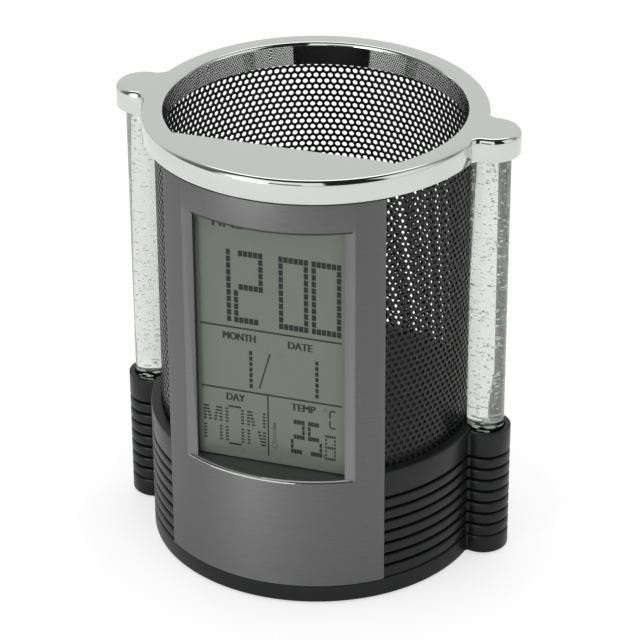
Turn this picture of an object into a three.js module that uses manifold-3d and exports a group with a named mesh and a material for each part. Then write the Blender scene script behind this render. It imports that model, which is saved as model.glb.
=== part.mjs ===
import * as THREE from 'three';
import { mergeVertices } from 'three/addons/utils/BufferGeometryUtils.js';
import Module from 'manifold-3d';

const wasm = await Module();
wasm.setup();

// A desk pen holder with a clock. A black ribbed base carries a perforated steel cup, a chrome
// ring closes the cup at the top, two clear pillars stand beside it, and the clock sits in a
// curved panel on the front. Lengths are millimetres. Z is up, the clock faces -Y, and z = 0 is
// the table. Names that end in Z are heights, and names that end in Plane are distances from the
// middle of the cup towards the front, or towards the back for the keypad.

// Overall sizes
const totalHeight = 114;
const ringRadius = 41.4;
const gap = 0.3;
const overrun = 1;

// Chrome ring at the top
const ringBand = 5.8;
const ringTopThickness = 2;
const ringSkirt = 2.4;
const ringLip = 1.55;
const earWall = 1.9;
const earFillet = 2.5;

// Curved front panel and its window
const panelInset = 0.1;
const panelThickness = 2;
const panelHalfAngle = THREE.MathUtils.degToRad(41);
const panelBottomZ = 5.15;
const windowHalf = 18.5;
const facetStrip = 2.6;
const windowHeader = 7;
const sillDrop = 0.9;
const flangeThickness = 0.6;
const screwSkin = 1.2;

// Perforated cup, with a plain grid of openings in place of its fine holes
const meshInset = 0.6;
const meshThickness = 0.5;
const gridColumns = 12;
const gridRows = 6;
const gridBar = 3.6;
const meshSeat = 1.2;
const meshTuck = THREE.MathUtils.degToRad(1.5);

// Clear pillars
const rodRadius = 4.6;

// Base shell
const baseInset = 0.2;
const baseTopZ = 35.1;
const rimLift = 0.4;
const baseWall = 2;
const deckThickness = 2;
const postWall = 1.35;
const postDrop = 0.8;
const rodSeatDepth = 4.1;
const postWebThickness = 2;
const neckFillet = 1;
const grooveCount = 7;
const grooveDepth = 1.2;
const grooveWidth = 0.8;
const groovePitch = 3.19;
const firstGrooveZ = 27.8;
const stepDepth = 0.5;

// Display module behind the window
const openingStep = 0.1;
const framePlate = 1.1;
const frameWall = 0.8;
const ledgeThickness = 1.2;
const glassThickness = 2.6;
const glassHold = 0.6;
const zebraThickness = 1.7;
const zebraHeight = 2.2;
const zebraInset = 2.5;
const boardThickness = 1.4;
const boardClearance = 0.5;
const blobRadius = 5;
const blobHeight = 1.2;
const thermistorRadius = 0.8;
const thermistorLength = 4;
const thermistorInset = 6;
const caseWall = 1.5;
const caseSideGap = 1.7;
const caseBossHalf = 2.4;
const caseBossHeight = 6.6;
const deckScrewOffset = 8;

// Screws
const screwShaft = 1;
const screwHead = 2.2;
const screwHeadHeight = 1.2;
const caseScrewOffset = 12;
const caseScrewLength = 9;
const caseBossRadius = 1.9;
const deckScrewLength = 7;
const panelScrewOffset = 9;
const panelScrewZ = 19;
const panelScrewHead = 3.4;
const panelScrewLength = 4;
const panelBossRadius = 2.2;
const panelPadWall = 1.7;
const coverScrewLength = 11;
const coverScrewInset = 5.7;
const coverScrewY = 9;
const coverBossRadius = 3;

// Bottom cover, feet and battery bay
const footRadius = 4;
const footThickness = 1;
const footInset = 0.3;
const footAngle = THREE.MathUtils.degToRad(46.3);
const coverThickness = 3;
const trayWall = 1.2;
const trayRise = 9;
const cellRadius = 5.25;
const cellLength = 44.5;
const cellNubRadius = 1.9;
const cellNubLength = 1.3;
const cellSpacing = 0.7;
const cellSideGap = 0.45;
const contactSpace = 2.75;
const contactThickness = 0.4;
const contactHalf = 4;
const springRadius = 3.4;
const springTipRadius = 2;
const doorThickness = 1.6;
const doorOverlap = 1.2;
const doorTravel = 6.3;
const tongueReach = 1;
const tongueThickness = 0.7;
const tongueLength = 5;
const tonguePitch = 12;
const tongueInset = 0.5;

// Keys on the back of the base
const keypadInset = 2.2;
const keypadBottomZ = 9;
const keypadTopZ = 27;
const keypadHalf = 13.8;
const keypadRib = 1.5;
const keyCount = 4;
const keyPitch = 6.4;
const keyRadius = 2.2;
const keyProud = 1.2;
const keyFlangeReach = 0.8;
const keyFlangeThickness = 1;
const keyStemRadius = 1.5;
const keyStemLength = 1.5;
const keyTravel = 0.5;
const switchSize = 6;
const switchBody = 3;
const plungerRadius = 1.6;
const plungerHeight = 1;
const keyBoardThickness = 1.6;
const keyBoardHalfHeight = 6;
const keyPostRadius = 1.9;
const keyScrewShaft = 0.8;
const keyScrewHead = 1.8;
const keyScrewLength = 6;

// Lamp under each pillar and the sounder
const lampRadius = 2.5;
const lampFlangeReach = 0.4;
const lampFlangeHeight = 1;
const lampBody = 0.7;
const buzzerRadius = 6;
const buzzerHeight = 5;
const buzzerHole = 1;
const buzzerHoleDepth = 2;
const buzzerSpacing = 1.5;

// Radii that follow from each other, from the ring inwards
const panelRadius = ringRadius - panelInset;
const panelInner = panelRadius - panelThickness;
const pocketRadius = panelInner - gap;
const baseRadius = ringRadius - baseInset;
const frontWallInner = pocketRadius - baseWall;
const meshRadius = pocketRadius - meshInset;
const meshInner = meshRadius - meshThickness;
const slotOuter = meshRadius + gap;
const slotInner = meshInner - gap;
const ringBore = slotInner - ringLip;
const skirtInner = ringRadius - ringSkirt;
const pillarOffset = meshRadius + gap + rodRadius;
const rodSocket = rodRadius + gap;
const earRadius = rodSocket + earWall;
const postRadius = rodSocket + postWall;
const pocketHalfAngle = panelHalfAngle + gap / panelInner;
const frontWallHalfAngle = pocketHalfAngle + baseWall / pocketRadius;
const coverHalfAngle = frontWallHalfAngle + gap / frontWallInner;
const meshStart = panelHalfAngle - meshTuck;

// The window's facet cuts the panel where its side strips end
const windowPlane = Math.sqrt(panelRadius ** 2 - (windowHalf + facetStrip) ** 2);

// Heights that follow from each other
const ringBottomZ = totalHeight - ringBand;
const ringCeilingZ = totalHeight - ringTopThickness;
const tuckTopZ = ringCeilingZ - gap;
const panelTopZ = ringBottomZ - gap;
const windowTopZ = panelTopZ - windowHeader;
const windowBottomZ = baseTopZ - sillDrop;
const postTopZ = baseTopZ - postDrop;
const postWebTopZ = postTopZ - rodSeatDepth;
const postWebBottomZ = postWebTopZ - postWebThickness;
const rodBottomZ = postWebTopZ + gap;
const deckUnderZ = baseTopZ - deckThickness;
const slotBottomZ = baseTopZ - meshSeat;
const ledgeTopZ = windowBottomZ - gap;
const frameBottomZ = ledgeTopZ - ledgeThickness;
const glassBottomZ = ledgeTopZ + gap;
const openingTopZ = windowTopZ + openingStep;
const glassTopZ = openingTopZ + glassHold;
const pocketTopZ = glassTopZ + gap;
const frameTopZ = pocketTopZ + frameWall;
const caseScrewZ = (frameTopZ + gap + panelTopZ) / 2;
const caseBossTopZ = baseTopZ + caseBossHeight;
const boardBottomZ = caseBossTopZ + gap;
const coverBottomZ = footThickness;
const coverTopZ = coverBottomZ + coverThickness;
const doorTopZ = coverBottomZ + doorThickness;
const slotCeilingZ = doorTopZ + gap;
const tongueBottomZ = doorTopZ - tongueThickness;
const lipTopZ = tongueBottomZ - gap;
const cellZ = slotCeilingZ + cellRadius;
const trayTopZ = coverTopZ + trayRise;
const keyZ = (keypadBottomZ + keypadTopZ) / 2;

// Depths of the display module, from the window backwards
const flangeBackPlane = windowPlane - flangeThickness;
const framePlane = flangeBackPlane - gap;
const frameBackPlane = framePlane - framePlate;
const glassPlane = frameBackPlane - gap;
const glassBackPlane = glassPlane - glassThickness;
const zebraPlane = glassBackPlane - gap;
const zebraBackPlane = zebraPlane - zebraThickness;
const boardPlane = zebraBackPlane - gap;
const boardBackPlane = boardPlane - boardThickness;
const caseInnerPlane = boardBackPlane - boardClearance;
const casePlane = caseInnerPlane - caseWall;
const chordPlane = casePlane - gap;
const wallBackPlane = zebraBackPlane;

// Widths of the display module, from the window outwards
const openingHalf = windowHalf + openingStep;
const glassHalf = openingHalf + glassHold;
const framePocketHalf = glassHalf + gap;
const frameHalf = framePocketHalf + frameWall;
const recessHalf = frameHalf + gap;
const caseInnerHalf = frameHalf + caseSideGap;
const caseHalf = caseInnerHalf + caseWall;

// Screw seats
const screwHole = screwShaft + gap;
const panelPadRadius = panelBossRadius + gap + panelPadWall;
const panelBossPlane = Math.sqrt(frontWallInner ** 2 - (panelScrewOffset + panelPadRadius) ** 2) - gap;

// Cover screws and feet: the feet stand clear of the door and of the front wall
const coverScrewX = baseRadius - baseWall - coverScrewInset;
const footReach = frontWallInner - gap - footInset - footRadius;
const footX = footReach * Math.cos(footAngle);
const footY = footReach * Math.sin(footAngle);

// Battery bay and door
const cellY = cellRadius + cellSpacing / 2;
const trayHalfX = cellLength / 2 + contactSpace;
const trayHalfY = cellY + cellRadius + cellSideGap;
const doorHalfY = trayHalfY + doorOverlap;
const doorHalfX = trayHalfX;
const tongueStarts = [-doorHalfY + tongueInset, -doorHalfY + tongueInset + tonguePitch];

// Keys, from the keypad face inwards
const keypadPlane = baseRadius - keypadInset;
const keypadInner = keypadPlane - baseWall;
const keyFlangeFront = keypadInner - gap;
const keyFlangeBack = keyFlangeFront - keyFlangeThickness;
const keyStemEnd = keyFlangeBack - keyStemLength;
const plungerTop = keyStemEnd - keyTravel - gap;
const switchTop = plungerTop - plungerHeight;
const switchBottom = switchTop - switchBody;
const keyBoardFront = switchBottom - gap;
const keyBoardBack = keyBoardFront - keyBoardThickness;
const keyFlangeRadius = keyRadius + keyFlangeReach;
const keySpan = (keyCount - 1) / 2;
const keyPostX = keySpan * keyPitch + keyFlangeRadius + gap + keyPostRadius;
const keyScrewHole = keyScrewShaft + gap;

// Lamps
const lampFlangeTopZ = postWebBottomZ - gap;
const lampHole = lampRadius + gap;

// Mesh density and directions
const largeStep = THREE.MathUtils.degToRad(7.5);
const lobeStep = THREE.MathUtils.degToRad(22.5);
const filletStep = THREE.MathUtils.degToRad(45);
const smallSides = 12;
const front = -Math.PI / 2;
const back = Math.PI / 2;
const sides = [-1, 1];

// Materials
const finish = (color, roughness, metalness) =>
  new THREE.MeshStandardMaterial({ color, roughness, metalness });
const chrome = finish(0xd6d8d8, 0.08, 1);
const blackPlastic = finish(0x1b1c1d, 0.55, 0);
const blackSteel = finish(0x161718, 0.4, 0.3);
const panelGrey = finish(0x6a6a6b, 0.45, 0.35);
const displayGrey = finish(0x6d736b, 0.25, 0);
const boardGreen = finish(0x1d5a38, 0.5, 0);
const steel = finish(0xb4b6b8, 0.3, 1);
const darkSteel = finish(0x3a3b3d, 0.4, 1);
const rubber = finish(0x202021, 0.85, 0);
const cellJacket = finish(0x3c6fa8, 0.4, 0.2);
const lampPlastic = finish(0xe6ece8, 0.2, 0);
const silicone = finish(0xc9a7a4, 0.7, 0);
const acrylic = new THREE.MeshStandardMaterial({
  color: 0xf1f6f4,
  roughness: 0.05,
  metalness: 0,
  transparent: true,
  opacity: 0.4,
});

// Solids from three.js geometry

function toSolid(geometry) {
  const bare = geometry.clone();
  bare.deleteAttribute('normal');
  bare.deleteAttribute('uv');
  const merged = mergeVertices(bare);
  const kept = [];
  const index = merged.index.array;
  for (let i = 0; i < index.length; i += 3) {
    const [a, b, c] = [index[i], index[i + 1], index[i + 2]];
    if (a !== b && b !== c && c !== a) kept.push(a, b, c);
  }
  return new wasm.Manifold(new wasm.Mesh({
    numProp: 3,
    vertProperties: new Float32Array(merged.attributes.position.array),
    triVerts: new Uint32Array(kept),
  }));
}

function toGeometry(solid) {
  const data = solid.getMesh();
  const geometry = new THREE.BufferGeometry();
  geometry.setAttribute('position', new THREE.BufferAttribute(new Float32Array(data.vertProperties), 3));
  geometry.setIndex(new THREE.BufferAttribute(new Uint32Array(data.triVerts), 1));
  geometry.computeVertexNormals();
  return geometry;
}

function piece(name, solid, material) {
  const mesh = new THREE.Mesh(toGeometry(solid), material);
  mesh.name = name;
  return mesh;
}

function block(x0, x1, y0, y1, z0, z1) {
  const box = new THREE.BoxGeometry(x1 - x0, y1 - y0, z1 - z0);
  box.translate((x0 + x1) / 2, (y0 + y1) / 2, (z0 + z1) / 2);
  return toSolid(box);
}

function roundZ(radius, z0, z1, x = 0, y = 0) {
  const bar = new THREE.CylinderGeometry(radius, radius, z1 - z0, smallSides);
  bar.rotateX(back);
  bar.translate(x, y, (z0 + z1) / 2);
  return toSolid(bar);
}

function roundY(radius, y0, y1, x, z) {
  const bar = new THREE.CylinderGeometry(radius, radius, y1 - y0, smallSides);
  bar.translate(x, (y0 + y1) / 2, z);
  return toSolid(bar);
}

function lathe(profile) {
  const points = profile.map(([radius, along]) => new THREE.Vector2(radius, along));
  return toSolid(new THREE.LatheGeometry(points, smallSides));
}

function arc(x, y, radius, from, to, step) {
  const count = Math.max(1, Math.ceil(Math.abs(to - from) / step));
  return Array.from({ length: count + 1 }, (_, i) => {
    const angle = from + ((to - from) * i) / count;
    return new THREE.Vector2(x + radius * Math.cos(angle), y + radius * Math.sin(angle));
  });
}

function prism(points, z0, z1) {
  const solid = new THREE.ExtrudeGeometry(new THREE.Shape(points), { depth: z1 - z0, bevelEnabled: false });
  solid.translate(0, 0, z0);
  return toSolid(solid);
}

function disc(radius, z0, z1) {
  return prism(arc(0, 0, radius, 0, 2 * Math.PI, largeStep).slice(0, -1), z0, z1);
}

function sector(inner, outer, middle, halfAngle, z0, z1) {
  const outside = arc(0, 0, outer, middle - halfAngle, middle + halfAngle, largeStep);
  const inside = arc(0, 0, inner, middle + halfAngle, middle - halfAngle, largeStep);
  return prism([...outside, ...inside], z0, z1);
}

// A circle with a round lobe at each side, blended by concave fillets
function earedOutline(radius, lobeRadius, fillet) {
  const reach = radius + fillet;
  const lobeReach = lobeRadius + fillet;
  const cosine = (reach ** 2 + pillarOffset ** 2 - lobeReach ** 2) / (2 * reach * pillarOffset);
  const turn = Math.acos(cosine);
  const [x, y] = [reach * Math.cos(turn), reach * Math.sin(turn)];
  const lobeTurn = Math.atan2(y, x - pillarOffset);
  const quarter = [
    ...arc(pillarOffset, 0, lobeRadius, 0, lobeTurn, lobeStep),
    ...arc(x, y, fillet, lobeTurn + Math.PI, turn + Math.PI, filletStep).slice(1),
    ...arc(0, 0, radius, turn, back, largeStep).slice(1),
  ];
  const half = [...quarter, ...quarter.slice(0, -1).reverse().map((p) => new THREE.Vector2(-p.x, p.y))];
  const rest = half.slice(1, -1).reverse().map((p) => new THREE.Vector2(p.x, -p.y));
  return [...half, ...rest];
}

function baseOutline(inset) {
  return earedOutline(baseRadius - inset, postRadius - inset, neckFillet + inset);
}

function screw(headRadius, shaftRadius, length) {
  return lathe([
    [0, -screwHeadHeight],
    [headRadius, -screwHeadHeight],
    [headRadius, 0],
    [shaftRadius, 0],
    [shaftRadius, length - shaftRadius],
    [0, length],
  ]);
}

// Base

function meshSlot(z0, z1) {
  const halfAngle = Math.PI - meshStart + gap / meshRadius;
  return sector(slotInner, slotOuter, back, halfAngle, z0, z1);
}

function grooveCutters() {
  const ring = (depth, z0, z1) => {
    const slab = disc(pillarOffset + postRadius + overrun, z0, z1);
    return slab.subtract(prism(baseOutline(depth), z0 - overrun, z1 + overrun));
  };
  const cutters = [];
  for (let i = 0; i < grooveCount; i += 1) {
    const middle = firstGrooveZ - i * groovePitch;
    cutters.push(ring(grooveDepth, middle - grooveWidth / 2, middle + grooveWidth / 2));
  }
  const stepZ = firstGrooveZ - grooveCount * groovePitch;
  cutters.push(ring(stepDepth, stepZ - grooveWidth / 2, stepZ + grooveWidth / 2));
  return cutters;
}

function postTopCutters() {
  const core = disc(baseRadius, postTopZ - overrun, totalHeight);
  return sides.map((side) => {
    const top = roundZ(postRadius + neckFillet, postTopZ, baseTopZ + overrun, side * pillarOffset);
    return top.subtract(core);
  });
}

function baseBosses() {
  const bosses = [];
  for (const side of sides) {
    for (const end of sides) {
      bosses.push(roundZ(coverBossRadius, coverTopZ + gap, baseTopZ, side * coverScrewX,
        end * coverScrewY));
    }
    bosses.push(roundY(panelPadRadius, -pocketRadius, -panelBossPlane, side * panelScrewOffset,
      panelScrewZ));
    bosses.push(roundY(keyPostRadius, keyBoardFront + gap, keypadInner, side * keyPostX, keyZ));
    bosses.push(roundZ(postRadius, postWebBottomZ, baseTopZ, side * pillarOffset));
  }
  const keypadReach = keypadHalf + keypadRib;
  bosses.push(block(-keypadReach, keypadReach, keypadInner, baseRadius, keypadBottomZ - keypadRib,
    keypadTopZ + keypadRib));
  bosses.push(sector(frontWallInner, baseRadius, front, frontWallHalfAngle, -overrun, baseTopZ));
  return bosses;
}

function buildBaseShell() {
  let body = prism(baseOutline(0), rimLift, baseTopZ);
  for (const cutter of [...grooveCutters(), ...postTopCutters()]) body = body.subtract(cutter);
  let cavity = prism(baseOutline(baseWall), -overrun, deckUnderZ);
  for (const boss of baseBosses()) cavity = cavity.subtract(boss);
  body = body.subtract(cavity);
  body = body.subtract(sector(pocketRadius, pillarOffset, front, pocketHalfAngle, panelBottomZ - gap,
    baseTopZ + overrun));
  body = body.subtract(block(-recessHalf, recessHalf, -ringRadius, -zebraPlane, frameBottomZ - gap,
    baseTopZ + overrun));
  body = body.subtract(meshSlot(slotBottomZ, baseTopZ + overrun));
  body = body.subtract(block(-keypadHalf, keypadHalf, keypadPlane, ringRadius, keypadBottomZ, keypadTopZ));
  for (const hole of baseHoles()) body = body.subtract(hole);
  return piece('base_shell', body, blackPlastic);
}

function baseHoles() {
  const holes = [];
  for (const side of sides) {
    for (const end of sides) {
      holes.push(roundZ(screwHole, coverTopZ, coverTopZ + coverScrewLength, side * coverScrewX,
        end * coverScrewY));
    }
    const panelX = side * panelScrewOffset;
    holes.push(roundY(panelBossRadius + gap, -ringRadius, -panelBossPlane + overrun, panelX, panelScrewZ));
    const keyEnd = keyBoardBack + keyScrewLength + gap;
    holes.push(roundY(keyScrewHole, keyBoardFront, keyEnd, side * keyPostX, keyZ));
    holes.push(roundZ(rodSocket, postWebTopZ, baseTopZ + overrun, side * pillarOffset));
    holes.push(roundZ(lampHole, postWebBottomZ - overrun, postWebTopZ + overrun, side * pillarOffset));
    holes.push(roundZ(screwHole, deckUnderZ - overrun, baseTopZ + overrun, side * deckScrewOffset,
      -deckScrewPlane()));
  }
  for (let i = 0; i < keyCount; i += 1) {
    holes.push(roundY(keyRadius + gap, keypadInner - overrun, keypadPlane + overrun, keyX(i), keyZ));
  }
  return holes;
}

function deckScrewPlane() {
  return (caseInnerPlane + zebraPlane) / 2;
}

function keyX(i) {
  return (i - keySpan) * keyPitch;
}

// Bottom cover, battery bay and feet

function buildBottomCover() {
  let body = prism(baseOutline(baseWall + gap), coverBottomZ, coverTopZ);
  body = body.subtract(sector(frontWallInner - gap, pillarOffset, front, coverHalfAngle,
    coverBottomZ - overrun, coverTopZ + overrun));
  const [outerX, outerY] = [trayHalfX + trayWall, trayHalfY + trayWall];
  body = body.add(block(-outerX, outerX, -outerY, outerY, coverBottomZ, trayTopZ));
  body = body.subtract(block(-trayHalfX, trayHalfX, -trayHalfY, trayHalfY, coverBottomZ - overrun,
    trayTopZ + overrun));
  for (const cutter of doorTrack()) body = body.subtract(cutter);
  for (const side of sides) {
    for (const end of sides) {
      const [x, y] = [side * coverScrewX, end * coverScrewY];
      body = body.subtract(roundZ(screwHole, coverBottomZ - overrun, coverTopZ + overrun, x, y));
      body = body.subtract(roundZ(screwHead + gap, coverBottomZ - overrun, coverHeadZ() + gap, x, y));
    }
  }
  return piece('bottom_cover', body, blackPlastic);
}

function coverHeadZ() {
  return coverBottomZ + gap + screwHeadHeight;
}

// The track lets the door slide back until its tongues meet the notches in the lips
function doorTrack() {
  const trackEnd = doorHalfY + doorTravel + gap;
  const [inner, outer] = [doorHalfX + gap, doorHalfX + tongueReach + gap];
  const start = -doorHalfY - gap;
  const cutters = [
    block(-inner, inner, start, trackEnd, coverBottomZ - overrun, slotCeilingZ),
    block(-outer, outer, start, trackEnd, lipTopZ, slotCeilingZ),
  ];
  for (const tongue of tongueStarts) {
    const notch = tongue + doorTravel;
    cutters.push(block(-outer, outer, notch - gap, notch + tongueLength + gap, coverBottomZ - overrun,
      slotCeilingZ));
  }
  return cutters;
}

function buildBatteryDoor() {
  let body = block(-doorHalfX, doorHalfX, -doorHalfY, doorHalfY, coverBottomZ, doorTopZ);
  const reach = doorHalfX + tongueReach;
  for (const tongue of tongueStarts) {
    body = body.add(block(-reach, reach, tongue, tongue + tongueLength, tongueBottomZ, doorTopZ));
  }
  return piece('battery_door', body, blackPlastic);
}

function buildFeet() {
  const feet = [];
  for (const side of sides) {
    for (const end of sides) {
      const foot = piece(`foot_pad_${feet.length + 1}`, roundZ(footRadius, 0, footThickness), rubber);
      foot.position.set(side * footX, end * footY, 0);
      feet.push(foot);
    }
  }
  return feet;
}

// The cells lie side by side and point opposite ways
function buildCells() {
  const half = cellLength / 2;
  const shoulder = half - cellNubLength;
  const profile = [
    [0, -half],
    [cellRadius, -half],
    [cellRadius, shoulder],
    [cellNubRadius, shoulder],
    [cellNubRadius, half],
    [0, half],
  ];
  return sides.map((side, i) => {
    const cell = piece(`battery_${i + 1}`, lathe(profile), cellJacket);
    cell.rotation.z = side * back;
    cell.position.set(0, side * cellY, cellZ);
    return cell;
  });
}

function contactBump(side, y, rootRadius, tipRadius) {
  const [from, to] = [cellLength / 2 + gap, trayHalfX - gap];
  const cone = new THREE.CylinderGeometry(tipRadius, rootRadius, to - from, smallSides);
  cone.rotateZ(side * back);
  cone.translate((side * (from + to)) / 2, y, cellZ);
  return toSolid(cone);
}

function contactPlate(side, y0, y1) {
  const outer = trayHalfX - gap;
  const [x0, x1] = [side * outer, side * (outer - contactThickness)].sort((a, b) => a - b);
  return block(x0, x1, y0, y1, cellZ - contactHalf, cellZ + contactHalf);
}

// A spring presses on the flat end of each cell and a plain bump meets each nub
function buildContacts() {
  const [left, right] = sides;
  const link = contactPlate(left, -cellY - contactHalf, cellY + contactHalf)
    .add(contactBump(left, -cellY, springRadius, springTipRadius))
    .add(contactBump(left, cellY, springTipRadius, springTipRadius));
  const spring = contactPlate(right, cellY - contactHalf, cellY + contactHalf)
    .add(contactBump(right, cellY, springRadius, springTipRadius));
  const plate = contactPlate(right, -cellY - contactHalf, -cellY + contactHalf)
    .add(contactBump(right, -cellY, springTipRadius, springTipRadius));
  return [
    piece('contact_link', link, steel),
    piece('contact_spring', spring, steel),
    piece('contact_plate', plate, steel),
  ];
}

function buildBuzzer() {
  const buzzer = piece('buzzer', lathe([
    [0, 0],
    [buzzerRadius, 0],
    [buzzerRadius, buzzerHeight],
    [buzzerHole, buzzerHeight],
    [buzzerHole, buzzerHeight - buzzerHoleDepth],
    [0, buzzerHeight - buzzerHoleDepth],
  ]), blackPlastic);
  buzzer.rotation.x = back;
  buzzer.position.set(0, trayHalfY + trayWall + buzzerSpacing + buzzerRadius, coverTopZ + gap);
  return buzzer;
}

// Cup, ring and pillars

function meshOpenings(halfAngle) {
  const barAngle = gridBar / meshRadius;
  const openAngle = (2 * halfAngle - (gridColumns + 1) * barAngle) / gridColumns;
  const openHeight = (ringBottomZ - baseTopZ - (gridRows + 1) * gridBar) / gridRows;
  const openings = [];
  for (let column = 0; column < gridColumns; column += 1) {
    const middle = back - halfAngle + barAngle + openAngle / 2 + column * (openAngle + barAngle);
    for (let row = 0; row < gridRows; row += 1) {
      const z0 = baseTopZ + gridBar + row * (openHeight + gridBar);
      openings.push(sector(meshInner - overrun, meshRadius + overrun, middle, openAngle / 2, z0,
        z0 + openHeight));
    }
  }
  return openings;
}

function buildMeshCup() {
  const halfAngle = Math.PI - meshStart;
  let wall = sector(meshInner, meshRadius, back, halfAngle, slotBottomZ + gap, tuckTopZ);
  for (const opening of meshOpenings(halfAngle)) wall = wall.subtract(opening);
  return piece('mesh_cup', wall, blackSteel);
}

function buildTopRing() {
  let body = prism(earedOutline(ringRadius, earRadius, earFillet), ringBottomZ, totalHeight);
  const bore = disc(ringBore, ringBottomZ - overrun, totalHeight + overrun);
  body = body.subtract(bore.intersect(block(-ringRadius, ringRadius, -chordPlane, ringRadius,
    ringBottomZ - overrun, totalHeight + overrun)));
  body = body.subtract(meshSlot(ringBottomZ - overrun, ringCeilingZ));
  const under = block(-caseHalf - gap, caseHalf + gap, -ringRadius, -chordPlane + overrun,
    ringBottomZ - overrun, ringCeilingZ);
  body = body.subtract(under.intersect(disc(skirtInner, ringBottomZ - overrun, ringCeilingZ)));
  for (const side of sides) {
    body = body.subtract(roundZ(rodSocket, ringBottomZ - overrun, ringCeilingZ, side * pillarOffset));
  }
  return piece('top_ring', body, chrome);
}

function buildPillars() {
  const names = ['light_rod_left', 'light_rod_right'];
  return sides.map((side, i) => {
    const rod = piece(names[i], roundZ(rodRadius, rodBottomZ, tuckTopZ), acrylic);
    rod.position.x = side * pillarOffset;
    return rod;
  });
}

function buildLamps() {
  const names = ['led_left', 'led_right'];
  const bodyTop = lampFlangeHeight + lampBody;
  const dome = arc(0, bodyTop, lampRadius, 0, back, lobeStep);
  const squash = (rodBottomZ - gap - lampFlangeTopZ - lampBody) / lampRadius;
  const profile = [
    [0, 0],
    [lampRadius + lampFlangeReach, 0],
    [lampRadius + lampFlangeReach, lampFlangeHeight],
    [lampRadius, lampFlangeHeight],
    ...dome.slice(0, -1).map((p) => [p.x, bodyTop + (p.y - bodyTop) * squash]),
    [0, bodyTop + lampRadius * squash],
  ];
  return sides.map((side, i) => {
    const lamp = piece(names[i], lathe(profile), lampPlastic);
    lamp.rotation.x = back;
    lamp.position.set(side * pillarOffset, 0, lampFlangeTopZ - lampFlangeHeight);
    return lamp;
  });
}

// Front panel and clock

function panelBosses() {
  const reach = disc(panelInner + panelThickness / 2, 0, totalHeight);
  const bosses = [];
  for (const side of sides) {
    const upper = roundY(caseBossRadius, -panelRadius, -caseInnerPlane - gap, side * caseScrewOffset,
      caseScrewZ);
    const lower = roundY(panelBossRadius, -panelRadius, -panelBossPlane, side * panelScrewOffset,
      panelScrewZ);
    bosses.push(upper.intersect(reach), lower.intersect(reach));
  }
  return bosses;
}

function blindHole(offset, side, z, mouthPlane) {
  const skin = Math.sqrt(panelRadius ** 2 - (offset + screwHole) ** 2) - screwSkin;
  return roundY(screwHole, -skin, -mouthPlane + overrun, side * offset, z);
}

function buildFrontPanel() {
  let body = sector(panelInner, panelRadius, front, panelHalfAngle, panelBottomZ, panelTopZ);
  body = body.subtract(block(-panelRadius, panelRadius, -pillarOffset, -windowPlane, windowBottomZ,
    windowTopZ));
  body = body.subtract(block(-recessHalf, recessHalf, -flangeBackPlane, 0, frameBottomZ - gap,
    frameTopZ + gap));
  body = body.add(block(-recessHalf, recessHalf, -windowPlane, -flangeBackPlane, windowBottomZ,
    windowTopZ));
  body = body.subtract(block(-windowHalf, windowHalf, -pillarOffset, 0, windowBottomZ, windowTopZ));
  for (const boss of panelBosses()) body = body.add(boss);
  for (const side of sides) {
    body = body.subtract(blindHole(caseScrewOffset, side, caseScrewZ, caseInnerPlane));
    body = body.subtract(blindHole(panelScrewOffset, side, panelScrewZ, panelBossPlane));
  }
  return piece('front_panel', body, panelGrey);
}

function buildLcdFrame() {
  const slab = (x0, x1, frontPlane, rearPlane, z0, z1) => block(x0, x1, -frontPlane, -rearPlane, z0, z1);
  let body = slab(-frameHalf, frameHalf, framePlane, frameBackPlane, frameBottomZ, frameTopZ);
  body = body.subtract(slab(-openingHalf, openingHalf, ringRadius, 0, ledgeTopZ, openingTopZ));
  const ledge = slab(-frameHalf, frameHalf, ringRadius, frameBackPlane, frameBottomZ, ledgeTopZ);
  body = body.add(ledge.intersect(disc(pocketRadius, 0, totalHeight)));
  body = body.add(slab(-frameHalf, frameHalf, framePlane, glassBackPlane, frameBottomZ, ledgeTopZ));
  body = body.add(slab(-frameHalf, frameHalf, framePlane, wallBackPlane, pocketTopZ, frameTopZ));
  for (const side of sides) {
    const [x0, x1] = [side * framePocketHalf, side * frameHalf].sort((a, b) => a - b);
    body = body.add(slab(x0, x1, framePlane, glassBackPlane, frameBottomZ, frameTopZ));
    body = body.add(slab(x0, x1, glassBackPlane, wallBackPlane, baseTopZ + gap, frameTopZ));
  }
  return piece('lcd_frame', body, blackPlastic);
}

function buildLcdGlass() {
  const body = block(-glassHalf, glassHalf, -glassPlane, -glassBackPlane, glassBottomZ, glassTopZ);
  return piece('lcd_glass', body, displayGrey);
}

function buildZebra() {
  const half = glassHalf - zebraInset;
  const top = glassTopZ - zebraInset;
  const body = block(-half, half, -zebraPlane, -zebraBackPlane, top - zebraHeight, top);
  return piece('zebra_connector', body, silicone);
}

function buildMainBoard() {
  const body = block(-frameHalf, frameHalf, -boardPlane, -boardBackPlane, boardBottomZ, frameTopZ);
  const middle = (boardBottomZ + frameTopZ) / 2;
  const blobBack = -boardBackPlane - boardThickness / 2;
  const blob = roundY(blobRadius, -boardPlane - blobHeight, blobBack, 0, middle);
  return piece('main_board', body.add(blob), boardGreen);
}

function buildThermistor() {
  const z = boardBottomZ + thermistorInset;
  const y = -boardPlane - gap - thermistorRadius;
  const body = roundZ(thermistorRadius, z, z + thermistorLength, frameHalf - thermistorInset, y);
  return piece('thermistor', body, darkSteel);
}

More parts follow.
